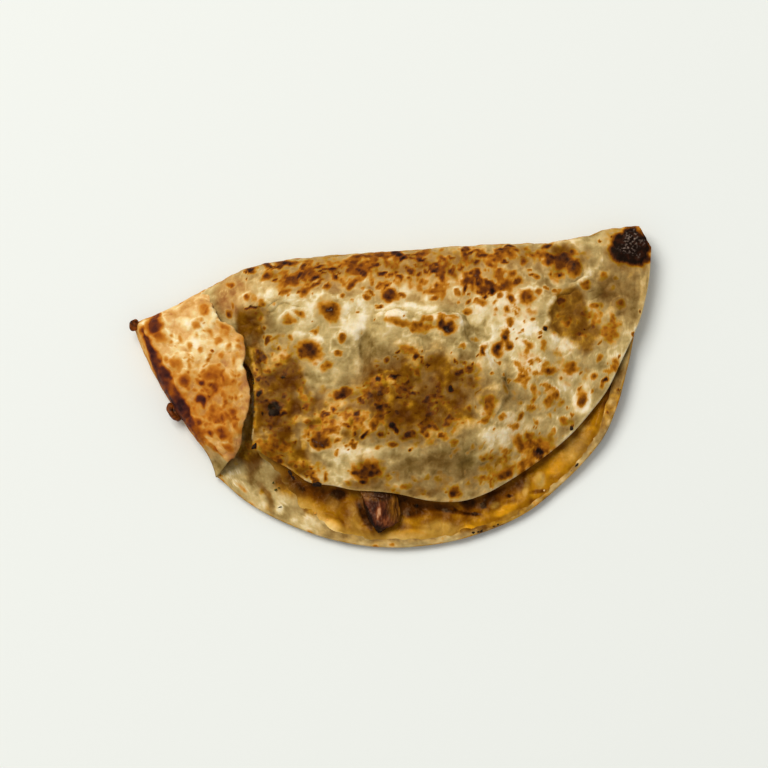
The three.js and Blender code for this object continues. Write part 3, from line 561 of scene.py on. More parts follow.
FLAP_DULL = [(-66, -18, 12, 8, -35, 0.55), (-74, -6, 12, 6, -50, 0.4), (-60, -4, 5, 10, 0, 0.1)]
FLAP_CREASES = [
    (((-94, 22), (-90, 13), (-86.4, 6), (-80, -3), (-72, -14), (-66, -20), (-60, -25)), 0.9, 0.35),
    (((-82.4, 0.2), (-78, -0.4), (-76, -2)), 0.4, 0.3),
    (((-79.4, -5.2), (-76, -7.4), (-75, -9.6)), 0.4, 0.3),
    (((-66.4, 33), (-65.6, 27), (-66.6, 23)), 0.6, 0.35),
    (((-80, 11), (-77, 11.4), (-76, 8), (-76.4, 5)), 0.5, 0.3),
    (((-70, 10), (-66, 13), (-63, 16)), 0.8, 0.25), (((-71, 22), (-67, 19), (-64, 15)), 0.8, -0.25),
    (((-62, -9), (-60.4, -12), (-60.6, -16)), 0.7, 0.3), (((-66, -9), (-65, -13)), 0.8, -0.3),
]

# The same lists for the lower leaf
LOWER_MARKS = [
    (-68.7, -25.2, 0.7, 0.6, 0, 1.0), (-64.0, -32.0, 1.0, 0.6, 0, 0.8), (-43.9, -35.0, 0.5, 0.6, 0, 0.7),
    (-42.6, -37.4, 1.0, 0.6, 30, 0.75), (-47.6, -38.2, 2.0, 1.4, -40, 0.36),
    (-56.0, -38.0, 2.6, 0.9, -40, 0.24), (-0.4, -58.0, 0.8, 0.6, 0, 0.7), (16.0, -53.5, 0.8, 0.8, 0, 1.05),
    (19.4, -55.6, 1.6, 0.8, 0, 0.34), (63.5, -30.0, 1.6, 1.3, 30, 0.50), (65.6, -28.0, 0.8, 0.6, 0, 0.42),
    (80.7, -9.0, 0.8, 0.7, 0, 0.85), (84.4, -0.6, 1.0, 0.8, 0, 1.05), (54.0, -38.2, 2.6, 0.6, 5, 0.60),
    (43.2, -39.9, 0.8, 0.7, 0, 0.9), (75.6, -15.0, 4.0, 2.2, 50, 0.30), (69.0, -20.6, 2.4, 0.9, 30, 0.30),
]
LOWER_FIELDS = [
    (10, -50, 60, 7, 6, 26, 0.3, 1.0, 1.0, 1.8, 10, 50, 0.20, 0.34, 31),
    (76, -12, 20, 5, 55, 14, 0.3, 0.8, 1.0, 1.6, 50, 40, 0.24, 0.44, 32),
]
# The wet washes under the upper leaf's edge and in the gap beside the flap are partly painted shade.
LOWER_WET_AND_SHADED = [
    (20, -45, 50, 9, 0, 0.9), (56, -32, 22, 6, 38, 0.95), (80, -7, 16, 5, 62, 0.8),
    (-37, -35, 7, 5, -35, 0.95), (-46, -41, 1.6, 7, 20, 0.75), (-53, -30, 2.6, 6, 20, 0.6),
    (-5, -50, 12, 8, 0, 0.7), (-62, -25, 5, 5, -40, 0.6), (34, -50, 9, 3, 18, 0.9),
    (-29, -44, 6, 4, -20, 0.9), (-54, -10, 4, 20, 0, 1.0), (-20, -54, 8, 3, -12, 0.5),
    (4, -56, 14, 3, 0, 0.5), (-53, -25, 5, 5, 0, 1.0),
]
LOWER_GOLDEN = [
    (-53, -24, 5, 5, 0, 0.36), (-53.6, -2, 4, 26, 0, 0.42), (40, -44, 30, 7, 20, 0.26),
    (-60, -25, 5, 4, -40, 0.3), (-28, -44, 8, 4, -20, 0.22),
    (74, -14, 14, 4, 55, 0.14), (2, -55, 16, 2.4, 2, 0.12), (-36, -46, 4, 4, -30, 0.1),
]
# The first two dull washes, on the left wedge and under the upper leaf's edge, are painted shade.
LOWER_DULL_AND_SHADED = [
    (-51, -30, 8, 4, -20, 0.35), (-38, -34, 8, 4, -30, 0.45), (84, 4, 3, 6, -20, 0.3),
]
LOWER_CREASES = [
    (((-58, -27), (-57.6, -31), (-63, -34)), 0.6, 0.3), (((-43.4, -41), (-44, -46)), 0.7, -0.4),
    (((-44, -45), (-41, -44.4)), 0.9, 0.5), (((68, -19.6), (73, -18.4), (76.6, -19.6)), 0.6, 0.3),
]
LOWER_PALE = [
    (-52, -40.5, 11, 2.2, -40, 0.5), (-47, -31, 5, 3, -20, 0.15), (-32, -50, 6, 2.6, -18, 0.5),
    (-42.4, -45, 1.6, 1.3, 0, 0.8), (-8, -57.5, 14, 1.6, 0, 0.35), (20, -57, 12, 1.4, 5, 0.5),
    (45, -47.6, 6, 1.4, 25, 0.5), (67, -25, 7, 4, 48, 0.5), (70.5, -14.5, 1.6, 1.4, 0, 0.7),
    (-58, -30, 5, 3, -40, 0.2), (18, -53, 6, 2, 0, 0.5), (56, -40, 20, 3, 40, 0.4),
    (78, -14, 16, 3, 60, 0.3), (-53.6, -4, 4, 24, 0, 0.4),
]

# What each sheet looks like, with how softly its marks fade out
UPPER_LOOKS = {
    "marks": UPPER_MARKS, "fields": UPPER_FIELDS, "golden": UPPER_GOLDEN, "wet": UPPER_WET,
    "pale": UPPER_PALE_AND_LIT, "dull": UPPER_DULL_AND_SHADED, "creases": UPPER_CREASES, "soft": 0,
}
FLAP_LOOKS = {
    "marks": FLAP_MARKS, "fields": FLAP_FIELDS, "golden": FLAP_GOLDEN, "wet": FLAP_WET,
    "pale": FLAP_PALE, "dull": FLAP_DULL, "creases": FLAP_CREASES, "soft": 0.7,
}
LOWER_LOOKS = {
    "marks": LOWER_MARKS, "fields": LOWER_FIELDS, "golden": LOWER_GOLDEN, "wet": LOWER_WET_AND_SHADED,
    "pale": LOWER_PALE, "dull": LOWER_DULL_AND_SHADED, "creases": LOWER_CREASES, "soft": 0.3,
}


def scattered(fields):
    """Marks strewn over the fields, the same ones each time."""
    marks = []
    for (x, up, length, depth, turn, count, small, large, thin, thick,
         lean, spread, light, dark, seed) in fields:
        draw = np.random.default_rng(seed)
        for _ in range(count):
            far, way = math.sqrt(draw.random()), draw.uniform(0, 2 * math.pi)
            dx, dy = turned_by(
                far * math.cos(way) * length, far * math.sin(way) * depth, -math.radians(turn))
            size = mix(small, large, draw.random() ** 1.6)
            shape = draw.uniform(thin, thick)
            angle = turn + lean + draw.uniform(-spread, spread)
            marks.append((x + dx, up + dy, size, size / shape, angle, draw.uniform(light, dark)))
    return marks


def washed(across, up, washes):
    """How strongly soft-edged washes cover each point."""
    total = np.zeros_like(across)
    for x, y, length, depth, turn, amount in washes:
        along, off = turned_by(across - x, up - y, math.radians(turn))
        far = np.hypot(along / length, off / depth)
        total = np.maximum(total, amount * (1 - step(0.55, 1.35, far)))
    return total


def marked(across, up, marks, wander, soft):
    """How dark the marks make each point, how far they rise, and how near their pale rims are, which are
    partly painted highlight.
    """
    dark, rise, rim = np.zeros_like(across), np.zeros_like(across), np.zeros_like(across)
    for x, y, length, width, turn, level in marks:
        largest = max(length, width)
        near = (np.abs(across - x) < 2.2 * largest) & (np.abs(up - y) < 2.2 * largest)
        if not near.any():
            continue
        dx, dy = across[near] - x, up[near] - y
        along, off = turned_by(dx, dy, math.radians(turn))
        stray = 0.3 * min(1, 2.5 / largest)
        far = np.hypot(along / length, off / width) * (1 + stray * wander[near])
        shade = level * (1 - step(0.24 - 0.6 * soft, 1.38 + 0.5 * soft, far))
        shade += 0.12 * (1 - step(0.9, 1.8, far))
        # The middle of a large brown mark is scorched darkest.
        core = step(0.58, 0.72, level) * step(1.2, 2.6, largest) * step(0.8, 0.3, far + 0.3 * wander[near])
        dark[near] = np.maximum(dark[near], shade + 0.26 * (1 - soft) * core)
        # Each mark is a low blister with a slightly raised border.
        height = min(0.6, 0.22 * min(length, width))
        blister = height * (1 - step(0.2, 1.3, far)) + 0.5 * height * bell((far - 1.1) / 0.25)
        rise[near] = np.maximum(rise[near], blister)
        # The pale rim is partly pale dry dough and partly painted highlight, widest on the side of each mark
        # that faces the light.
        side = 0.55 + 0.45 * np.clip(dy / np.maximum(np.hypot(dx, dy), 1e-6), -1, 1)
        rim[near] = np.maximum(rim[near], min(1, length / 2.2) * side * bell((far - 1.45) / 0.22))
    return dark, rise, rim


def creased(across, up, lines):
    """How far folded or cracked lines stand above the dough: across and up of their points, width, height."""
    total = np.zeros_like(across)
    for points, width, height in lines:
        near = away_from(np.array(points, float), across, up)
        total += height * bell(near / width)
    return total


# How finely the pieces are divided: columns along the fold, and rows across
UPPER_COLUMNS = 330
UPPER_ROWS = (108, 26, 10)
LOWER_COLUMNS = (120, 230)
LOWER_ROWS = 64
WALL_ROWS = 14
FLAP_ROWS = 84
CHEESE_COLUMNS = 280
CHEESE_ROWS = 84


def upper_leaf_points():
    """Columns of points from the open edge over the crown, round the fold and down to the floor."""
    open_rows, bend_rows, under_rows = UPPER_ROWS
    t = np.linspace(0, 1, UPPER_COLUMNS)
    start, above, under = FOLD.along(t), on_upper(t), on_lower(t)
    reach_above = np.linalg.norm(start - above, axis=-1)[:, None]
    reach_under = np.linalg.norm(start - under, axis=-1)[:, None]
    bend_above = np.minimum(BEND_TOP, 0.45 * reach_above)
    bend_under = np.minimum(BEND_UNDER, 0.45 * reach_under)
    x, y = start[:, 0], start[:, 1]
    middle = mix(lower_leaf(x, y), crown(x, y - 1), BEND_LEVEL)[:, None]

    inward = mix(reach_above, bend_above, np.arange(open_rows) / open_rows)
    curl = 1 - np.cos(np.arange(bend_rows, 0, -1) / bend_rows * math.pi / 2)
    distance = np.hstack([inward, bend_above * curl])
    top = mix(start[:, None], above[:, None], (distance / reach_above)[..., None])
    round_share = np.sqrt(1 - (1 - np.minimum(1, distance / bend_above)) ** 2)
    top[..., 2] = mix(middle, crown(top[..., 0], top[..., 1]), round_share)

    distance = bend_under * (1 - np.cos(np.arange(under_rows + 1) / under_rows * math.pi / 2))
    below = mix(start[:, None], under[:, None], (distance / reach_under)[..., None])
    round_share = np.sqrt(1 - (1 - np.minimum(1, distance / bend_under)) ** 2)
    below[..., 2] = mix(middle, lower_leaf(below[..., 0], below[..., 1]), round_share)
    return np.concatenate([top, below], axis=1)


def lower_leaf_points(t):
    """Columns of points from under the fold to the lower leaf's edge, closer together where they show."""
    start, under = FOLD.along(t), on_lower(t)
    reach = np.linalg.norm(start - under, axis=-1)[:, None]
    first = np.minimum(BEND_UNDER, 0.45 * reach) / reach
    rows = np.linspace(0, 1, LOWER_ROWS)
    share = mix(first, 1, 1 - (1 - rows) ** 1.9)
    points = mix(start[:, None], under[:, None], share[..., None])
    points[..., 2] = lower_leaf(points[..., 0], points[..., 1])
    return points


def flap_points(u, edge):
    """Columns of points up the side wall, over the crest and in to the flap's ragged edge."""
    start = edge[:, None]
    outside = WALL_OUTSIDE.at(u)
    outside[:, :2] += 0.5 * (outside - edge)[:, :2]
    outside[:, 2] = edge[:, 2] + 0.8
    outside = outside[:, None]
    crest, tip = FLAP_CREST.at(u**0.9)[:, None], FLAP_EDGE.at(u**0.9)[:, None]
    v = (np.arange(1, WALL_ROWS) / WALL_ROWS)[None, :, None]
    wall = mix(mix(start, outside, v), mix(outside, crest, v), v)
    v = np.linspace(0, 1, FLAP_ROWS)[None, :]
    ragged = layered(tip[:, 0], (1.1, 3.4, 41), (0.6, 1.5, 42))
    reach = np.linalg.norm(tip - crest, axis=-1)
    share = v * (1 + v**6 * ragged[:, None] * np.minimum(1, reach / 12) / np.maximum(reach, 4))
    top = mix(crest, tip, share[..., None])
    on_top = step(0.02, 0.2, u)[:, None]
    arch = np.sin(math.pi * v)
    top[..., 2] += on_top * (0.9 * arch + 0.5 * np.minimum(1, 4 * v) * uneven(top[..., 0], top[..., 1], 8, 5))
    top[..., 1] -= (1 - on_top) * 1.2 * arch
    return np.concatenate([wall, top], axis=1)


def outward(points):
    """Unit normals of columns of points, on the side that a grid of them faces."""
    normal = np.cross(np.gradient(points, axis=0), np.gradient(points, axis=1))
    return normal / np.maximum(np.linalg.norm(normal, axis=-1, keepdims=True), 1e-9)


def pick_nothing():
    bpy.ops.object.select_all(action="DESELECT")


def only(piece):
    """Makes a piece the only one selected, and the active one."""
    pick_nothing()
    piece.select_set(True)
    bpy.context.view_layer.objects.active = piece


def grid_piece(name, points):
    """A grid primitive moved to columns of points in millimetres, and each corner's column and row."""
    columns, rows = points.shape[:2]
    pick_nothing()
    bpy.ops.mesh.primitive_grid_add(x_subdivisions=columns - 1, y_subdivisions=rows - 1, size=1)
    piece = bpy.context.object
    piece.name = name
    place = read_points(piece)
    i = np.rint((place[:, 0] + 0.5) * (columns - 1)).astype(int)
    j = np.rint((place[:, 1] + 0.5) * (rows - 1)).astype(int)
    write_points(piece, (points[i, j] + SHIFT) * MM)
    return piece, (i, j)


def edit_all(piece, change, **settings):
    """Makes one change in edit mode to the whole of a piece."""
    only(piece)
    bpy.ops.object.mode_set(mode="EDIT")
    bpy.ops.mesh.select_all(action="SELECT")
    change(**settings)
    bpy.ops.object.mode_set(mode="OBJECT")


def joined(pieces, name):
    pick_nothing()
    for piece in pieces:
        piece.select_set(True)
    bpy.context.view_layer.objects.active = pieces[0]
    bpy.ops.object.join()
    bpy.context.object.name = name
    return bpy.context.object


def read_points(piece):
    place = np.empty(len(piece.data.vertices) * 3)
    piece.data.vertices.foreach_get("co", place)
    return place.reshape(-1, 3)


def write_points(piece, points):
    piece.data.vertices.foreach_set("co", np.ascontiguousarray(points, float).ravel())
    piece.data.update()


def write_values(piece, **values):
    """Stores one number for each corner of the mesh under each name, for the material to read."""
    for name, value in values.items():
        layer = piece.data.attributes.new(name, "FLOAT", "POINT")
        layer.data.foreach_set("value", np.ascontiguousarray(value, float).ravel())


# How much of the dough's dullness shows, which includes the painted shade in its hollows and creases
DULL_SHARE = 0.6


def shade_value(pale):
    """Paleness from -1 to 1 as a value from 0 to 1, with its middle at 0.5."""
    return np.clip(0.5 + 0.5 * np.where(pale < 0, DULL_SHARE * pale, pale), 0, 1)


def thin_edges(piece, distance, thinnest=0.35, width=1.5):
    """A vertex group that rounds the sheet off towards its free edges, for Solidify."""
    share = np.clip(distance / width, 0, 1)
    share = thinnest + (1 - thinnest) * np.sqrt(1 - (1 - share) ** 2)
    group = piece.vertex_groups.new(name="thickness")
    group.add(np.flatnonzero(share > 0.999).tolist(), 1.0, "REPLACE")
    for index in np.flatnonzero(share <= 0.999):
        group.add([int(index)], float(share[index]), "REPLACE")


def solidify(piece, thickness):
    only(piece)
    skin = piece.modifiers.new("thickness", "SOLIDIFY")
    skin.thickness = thickness
    skin.offset = 0
    skin.vertex_group = "thickness"
    bpy.ops.object.modifier_apply(modifier=skin.name)
    place = read_points(piece)
    place[:, 2] = np.where(place[:, 2] < SETTLE * MM, 0, place[:, 2])
    write_points(piece, place)
    piece.vertex_groups.clear()


def finish(piece, material, node):
    """Gives a finished piece its material and its place in the table of pieces."""
    piece.data.materials.clear()
    piece.data.materials.append(material)
    only(piece)
    bpy.ops.object.shade_smooth()
    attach(piece, "root")
    if node:
        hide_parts(node)
    pick_nothing()


def linear(code):
    """An sRGB hex colour as linear red, green, blue and alpha."""
    values = [int(code[i:i + 2], 16) / 255 for i in (0, 2, 4)]
    return (*(v / 12.92 if v <= 0.04045 else ((v + 0.055) / 1.055) ** 2.4 for v in values), 1.0)


def tinted(stops, chosen, middle):
    """A ramp's stops as linear colours, tinted so that the given middle one becomes the chosen colour."""
    share = [c / m for c, m in zip(chosen, linear(middle))]
    return [(place, (*(v * s for v, s in zip(linear(code), share)), 1.0)) for place, code in stops]


def add(tree, kind, inputs=(), stops=(), **settings):
    """Adds a node with its settings, its input values or links, and a colour ramp's stops."""
    node = tree.nodes.new(kind)
    for name, value in settings.items():
        setattr(node, name, value)
    for name, value in dict(inputs).items():
        if isinstance(value, bpy.types.NodeSocket):
            tree.links.new(value, node.inputs[name])
        else:
            node.inputs[name].default_value = value
    for place, (position, colour) in enumerate(stops):
        elements = node.color_ramp.elements
        stop = elements[place] if place < 2 else elements.new(position)
        stop.position = position
        stop.color = colour
    return node


def new_material(name):
    """A node material with only its output."""
    material = bpy.data.materials.new(name)
    material.use_nodes = True
    material.node_tree.nodes.clear()
    return material, material.node_tree


# One colour of each material, which a user may change: the others of its ramp keep their ratio to it
DRY, SOAKED, GOLDEN, BROWNED = "c9ad71", "85560a", "ddab68", "985a0c"
CHEESE, FILM, MEAT, GLAZE = "b47a0c", "c6983e", "5c2a10", "945e0c"
FAT, CRISPED, BURNT, HERB, FLOOR = "e0a044", "8a4412", "2a1a12", "4a4a1c", "eceee8"
# Bare dough from its darkest hollows to its dry crests, so the low stops serve as painted shade and the high
# ones as painted highlight as well as the dough's own tone: where it is dry, where fat has soaked in, and
# where it is golden. Then the toasting from gold over brown to burnt: on plain dough, and on golden dough.
DRY_STOPS = (
    (0.0, "563f14"), (0.2, "7c622e"), (0.36, "9b804a"), (0.5, "b39960"), (0.64, "c9ad71"), (0.8, "e0ca98"),
    (1.0, "f4e5c4"),
)
WET_STOPS = (
    (0.0, "421a00"), (0.2, "5a2f00"), (0.36, "6e4202"), (0.5, "85560a"), (0.66, "b07c16"), (0.84, "d6a03c"),
    (1.0, "e2c48a"),
)
GOLD_STOPS = (
    (0.0, "7e3c18"), (0.15, "985228"), (0.3, "b4733a"), (0.45, "cb934a"), (0.6, "ddab68"), (0.75, "e9ca8a"),
    (0.88, "f2e0ae"), (1.0, "faeed0"),
)
TOAST_STOPS = (
    (0.12, "deb87a"), (0.26, "cb9140"), (0.4, "b67619"), (0.54, "985a0c"), (0.66, "784206"),
    (0.78, "562b08"), (0.9, "32160b"), (1.0, "150906"),
)
CRISP_STOPS = (
    (0.12, "e6bd78"), (0.26, "d29742"), (0.4, "bf7420"), (0.54, "a0540f"), (0.66, "7a3812"),
    (0.78, "522419"), (0.9, "331517"), (1.0, "180a08"),
)
# Grey ash on burnt crust
ASH = "8a7466"


def toasted_dough(colours):
    """Wheat-flour dough cooked on a dry hot pan: matt and creamy where pale, waxy and amber where fat has
    soaked in, golden to nearly black on the blisters. Light sinks in a little, which softens its shadows."""
    material, tree = new_material("pan_toasted_wheat_dough")
    place = add(tree, "ShaderNodeTexCoord").outputs["Object"]
    toast, wet, pale, gold = (
        add(tree, "ShaderNodeAttribute", attribute_name=name).outputs["Fac"]
        for name in ("toast", "wet", "pale", "gold")
    )
    # Mottling of 4 mm and grains of 1.1 mm in the dough itself.
    mottle = add(tree, "ShaderNodeTexNoise", {
        "Vector": place, "Scale": 1 / (4 * MM), "Detail": 4.0, "Roughness": 0.55,
    }).outputs[0]
    speck = add(tree, "ShaderNodeTexNoise", {
        "Vector": place, "Scale": 1 / (1.1 * MM), "Detail": 3.0,
    }).outputs[0]
    # Small blisters of about 2 mm: each toasts first in its middle, so a golden place is full of brown spots.
    warp = add(tree, "ShaderNodeTexNoise", {
        "Vector": place, "Scale": 1 / (1.8 * MM), "Detail": 2.0,
    }).outputs[1]
    bent = add(tree, "ShaderNodeMix", {0: 1.6 * MM, 4: place, 5: warp},
               data_type="VECTOR", clamp_factor=False)
    cell = add(tree, "ShaderNodeTexVoronoi", {
        "Vector": bent.outputs[1], "Scale": 1 / (2.1 * MM), "Randomness": 1.0,
    }, feature="SMOOTH_F1").outputs["Distance"]
    blister = add(tree, "ShaderNodeMapRange", {0: cell, 1: 0.1, 2: 0.7, 3: 1.0, 4: -1.0},
                  interpolation_type="SMOOTHSTEP").outputs[0]
    # The spots break up what is already toasted, and leave bare dough alone.
    broken = add(tree, "ShaderNodeMapRange", {0: toast, 1: 0.05, 2: 0.35, 3: 0.15, 4: 1.0}).outputs[0]
    even = add(tree, "ShaderNodeMath", {0: gold, 1: -0.55, 2: 1.0}, operation="MULTIPLY_ADD").outputs[0]
    broken = add(tree, "ShaderNodeMath", {0: broken, 1: even}, operation="MULTIPLY").outputs[0]
    shift = add(tree, "ShaderNodeMath", {0: blister, 1: 0.12, 2: -0.11}, operation="MULTIPLY_ADD").outputs[0]
    shift = add(tree, "ShaderNodeMath", {0: speck, 1: 0.22, 2: shift}, operation="MULTIPLY_ADD").outputs[0]
    toasted = add(tree, "ShaderNodeMath", {0: shift, 1: broken, 2: toast},
                  operation="MULTIPLY_ADD").outputs[0]
    # Bare dough: paler with dry flour and painted highlight on its crests, darker with painted shade in its
    # hollows, and darker with soaked fat.
    ground = add(tree, "ShaderNodeMath", {0: mottle, 1: 0.7, 2: -0.47}, operation="MULTIPLY_ADD").outputs[0]
    ground = add(tree, "ShaderNodeMath", {0: speck, 1: 0.16, 2: ground}, operation="MULTIPLY_ADD").outputs[0]
    ground = add(tree, "ShaderNodeMath", {0: pale, 1: 1.0, 2: ground}, operation="MULTIPLY_ADD").outputs[0]
    ground = add(tree, "ShaderNodeMath", {0: wet, 1: -0.06, 2: ground}, operation="MULTIPLY_ADD").outputs[0]
    dry, soaked, golden = (
        add(tree, "ShaderNodeValToRGB", {0: ground}, stops=tinted(*ramp)).outputs[0] for ramp in (
            (DRY_STOPS, colours.dry, DRY),
            (WET_STOPS, colours.soaked, SOAKED),
            (GOLD_STOPS, colours.golden, GOLDEN),
        )
    )
    bare = add(tree, "ShaderNodeMix", {0: gold, 6: dry, 7: golden}, data_type="RGBA").outputs[2]
    bare = add(tree, "ShaderNodeMix", {0: wet, 6: bare, 7: soaked}, data_type="RGBA").outputs[2]
    plain, crisp = (
        add(tree, "ShaderNodeValToRGB", {0: toasted}, stops=tinted(ramp, colours.browned, BROWNED)).outputs[0]
        for ramp in (TOAST_STOPS, CRISP_STOPS)
    )
    browned = add(tree, "ShaderNodeMix", {0: gold, 6: plain, 7: crisp}, data_type="RGBA").outputs[2]
    share = add(tree, "ShaderNodeMapRange", {0: toasted, 1: 0.04, 2: 0.32}).outputs[0]
    darkened, covered = (
        add(tree, "ShaderNodeMix", {0: share, 6: bare, 7: browned},
            data_type="RGBA", blend_type=blend).outputs[2]
        for blend in ("DARKEN", "MIX")
    )
    # Toasting covers dry dough, and only darkens soaked dough.
    cover = add(tree, "ShaderNodeMath", {0: wet, 1: -0.5, 2: 0.5}, operation="MULTIPLY_ADD").outputs[0]
    colour = add(tree, "ShaderNodeMix", {0: cover, 6: darkened, 7: covered}, data_type="RGBA").outputs[2]
    # Burnt crust is crazed with grey ash where the pale value reaches it.
    burnt = add(tree, "ShaderNodeMapRange", {0: toasted, 1: 0.75, 2: 0.95}).outputs[0]
    ash = add(tree, "ShaderNodeMapRange", {0: speck, 1: 0.5, 2: 0.72}).outputs[0]
    ash = add(tree, "ShaderNodeMath", {0: ash, 1: burnt}, operation="MULTIPLY").outputs[0]
    dusty = add(tree, "ShaderNodeMapRange", {0: pale, 1: 0.75, 2: 1.0}).outputs[0]
    ash = add(tree, "ShaderNodeMath", {0: ash, 1: dusty}, operation="MULTIPLY", use_clamp=True).outputs[0]
    colour = add(tree, "ShaderNodeMix", {0: ash, 6: colour, 7: linear(ASH)}, data_type="RGBA").outputs[2]
    rough = add(tree, "ShaderNodeMapRange", {0: wet, 1: 0.0, 2: 1.0, 3: 0.65, 4: 0.32}).outputs[0]
    first = add(tree, "ShaderNodeBump", {"Strength": 0.8, "Distance": 0.5 * MM, "Height": mottle}).outputs[0]
    bump = add(tree, "ShaderNodeBump", {
        "Strength": 0.7, "Distance": 0.22 * MM, "Height": speck, "Normal": first,
    })
    shader = add(tree, "ShaderNodeBsdfPrincipled", {
        "Base Color": colour, "Roughness": rough, "IOR": 1.45, "Normal": bump.outputs[0],
        "Specular IOR Level": 0.09, "Specular Tint": (1.0, 0.72, 0.4, 1.0),
        "Subsurface Weight": 0.1, "Subsurface Radius": (1.0, 0.55, 0.25), "Subsurface Scale": 0.8 * MM,
    })
    add(tree, "ShaderNodeOutputMaterial", {0: shader.outputs[0]})
    return material


def melted_cheese(colours):
    """Orange cheese melted and set again: waxy and glossy, with brown fried fat in it. Light sinks in a
    little."""
    material, tree = new_material("melted_orange_cheese")
    place = add(tree, "ShaderNodeTexCoord").outputs["Object"]
    shade = add(tree, "ShaderNodeAttribute", attribute_name="shade").outputs["Fac"]
    pale = add(tree, "ShaderNodeAttribute", attribute_name="pale").outputs["Fac"]
    swirl = add(tree, "ShaderNodeTexNoise", {
        "Vector": place, "Scale": 1 / (4 * MM), "Detail": 4.0, "Distortion": 1.0,
    }).outputs[0]
    fine = add(tree, "ShaderNodeTexNoise", {
        "Vector": place, "Scale": 1 / (1.3 * MM), "Detail": 3.0,
    }).outputs[0]
    depth = add(tree, "ShaderNodeMath", {0: swirl, 1: 0.34, 2: -0.14}, operation="MULTIPLY_ADD").outputs[0]
    depth = add(tree, "ShaderNodeMath", {0: fine, 1: 0.16, 2: depth}, operation="MULTIPLY_ADD").outputs[0]
    depth = add(tree, "ShaderNodeMath", {0: depth, 1: shade}, operation="ADD").outputs[0]
    amber = add(tree, "ShaderNodeValToRGB", {0: depth}, stops=tinted([
        (0.0, "f4bc40"), (0.2, "dc9610"), (0.38, CHEESE), (0.52, "966006"), (0.66, "784402"),
        (0.82, "5a2c00"),
        (1.0, "2c1000"),
    ], colours.cheese, CHEESE)).outputs[0]
    # Drawn out thin, the cheese lets the dough under it show. The same pale colours paint highlights on its
    # glossy bumps.
    film = add(tree, "ShaderNodeValToRGB", {0: depth}, stops=tinted([
        (0.1, "eccb84"), (0.45, FILM), (0.8, "8a611c"),
    ], colours.film, FILM)).outputs[0]
    colour = add(tree, "ShaderNodeMix", {0: pale, 6: amber, 7: film}, data_type="RGBA").outputs[2]
    first = add(tree, "ShaderNodeBump", {"Strength": 0.5, "Distance": 0.5 * MM, "Height": swirl}).outputs[0]
    bump = add(tree, "ShaderNodeBump", {
        "Strength": 0.7, "Distance": 0.35 * MM, "Height": fine, "Normal": first,
    })
    shader = add(tree, "ShaderNodeBsdfPrincipled", {
        "Base Color": colour, "Roughness": 0.16, "IOR": 1.46, "Normal": bump.outputs[0],
        "Specular IOR Level": 0.12, "Specular Tint": (1.0, 0.7, 0.35, 1.0),
        "Subsurface Weight": 0.12, "Subsurface Radius": (1.0, 0.45, 0.1), "Subsurface Scale": 1.0 * MM,
    })
    add(tree, "ShaderNodeOutputMaterial", {0: shader.outputs[0]})
    return material


def seared_beef(colours):
    """Beef browned in its own fat: dark fibres with a wet, reddish gloss, and painted shade that makes it
    nearly black in the hollows.
    """
    material, tree = new_material("seared_beef")
    place = add(tree, "ShaderNodeTexCoord").outputs["Object"]
    shade = add(tree, "ShaderNodeAttribute", attribute_name="shade").outputs["Fac"]
    glazed = add(tree, "ShaderNodeAttribute", attribute_name="glazed").outputs["Fac"]
    stretch = add(tree, "ShaderNodeMapping", {"Vector": place, "Scale": (1.0, 0.4, 1.0)}).outputs[0]
    fibre = add(tree, "ShaderNodeTexNoise", {
        "Vector": stretch, "Scale": 1 / (0.9 * MM), "Detail": 4.0,
    }).outputs[0]
    depth = add(tree, "ShaderNodeMath", {0: fibre, 1: 0.8, 2: -0.4}, operation="MULTIPLY_ADD").outputs[0]
    depth = add(tree, "ShaderNodeMath", {0: depth, 1: shade}, operation="ADD").outputs[0]
    meat = add(tree, "ShaderNodeValToRGB", {0: depth}, stops=tinted([
        (0.1, "c08a60"), (0.3, "8a4a24"), (0.5, MEAT), (0.72, "381206"), (0.95, "160502"),
    ], colours.meat, MEAT)).outputs[0]
    fat = add(tree, "ShaderNodeValToRGB", {0: depth}, stops=tinted([
        (0.1, "c48e34"), (0.4, GLAZE), (0.7, "6c3e04"), (1.0, "3a1800"),
    ], colours.glaze, GLAZE)).outputs[0]
    colour = add(tree, "ShaderNodeMix", {0: glazed, 6: meat, 7: fat}, data_type="RGBA").outputs[2]
    bump = add(tree, "ShaderNodeBump", {"Strength": 0.9, "Distance": 0.5 * MM, "Height": fibre}).outputs[0]
    shader = add(tree, "ShaderNodeBsdfPrincipled", {
        "Base Color": colour, "Roughness": 0.22, "IOR": 1.45, "Normal": bump,
        "Specular IOR Level": 0.25, "Specular Tint": (1.0, 0.72, 0.5, 1.0),
        "Subsurface Weight": 0.08, "Subsurface Radius": (1.0, 0.3, 0.15), "Subsurface Scale": 0.8 * MM,
    })
    add(tree, "ShaderNodeOutputMaterial", {0: shader.outputs[0]})
    return material


def plain_flecks(name, chosen, light, dark, roughness, size):
    """Small bits, drops and crumbs: a light and a dark tone of one colour in specks of the given size."""
    material, tree = new_material(name)
    place = add(tree, "ShaderNodeTexCoord").outputs["Object"]
    noise = add(tree, "ShaderNodeTexNoise", {"Vector": place, "Scale": 1 / size, "Detail": 3.0}).outputs[0]
    colour = add(tree, "ShaderNodeValToRGB", {0: noise},
                 stops=tinted([(0.35, dark), (0.65, light)], chosen, light))
    bump = add(tree, "ShaderNodeBump", {"Strength": 0.6, "Distance": 0.3 * MM, "Height": noise}).outputs[0]
    shader = add(tree, "ShaderNodeBsdfPrincipled", {
        "Base Color": colour.outputs[0], "Roughness": roughness, "IOR": 1.45, "Normal": bump,
        "Specular IOR Level": 0.12, "Specular Tint": (1.0, 0.8, 0.6, 1.0),
    })
    add(tree, "ShaderNodeOutputMaterial", {0: shader.outputs[0]})
    return material


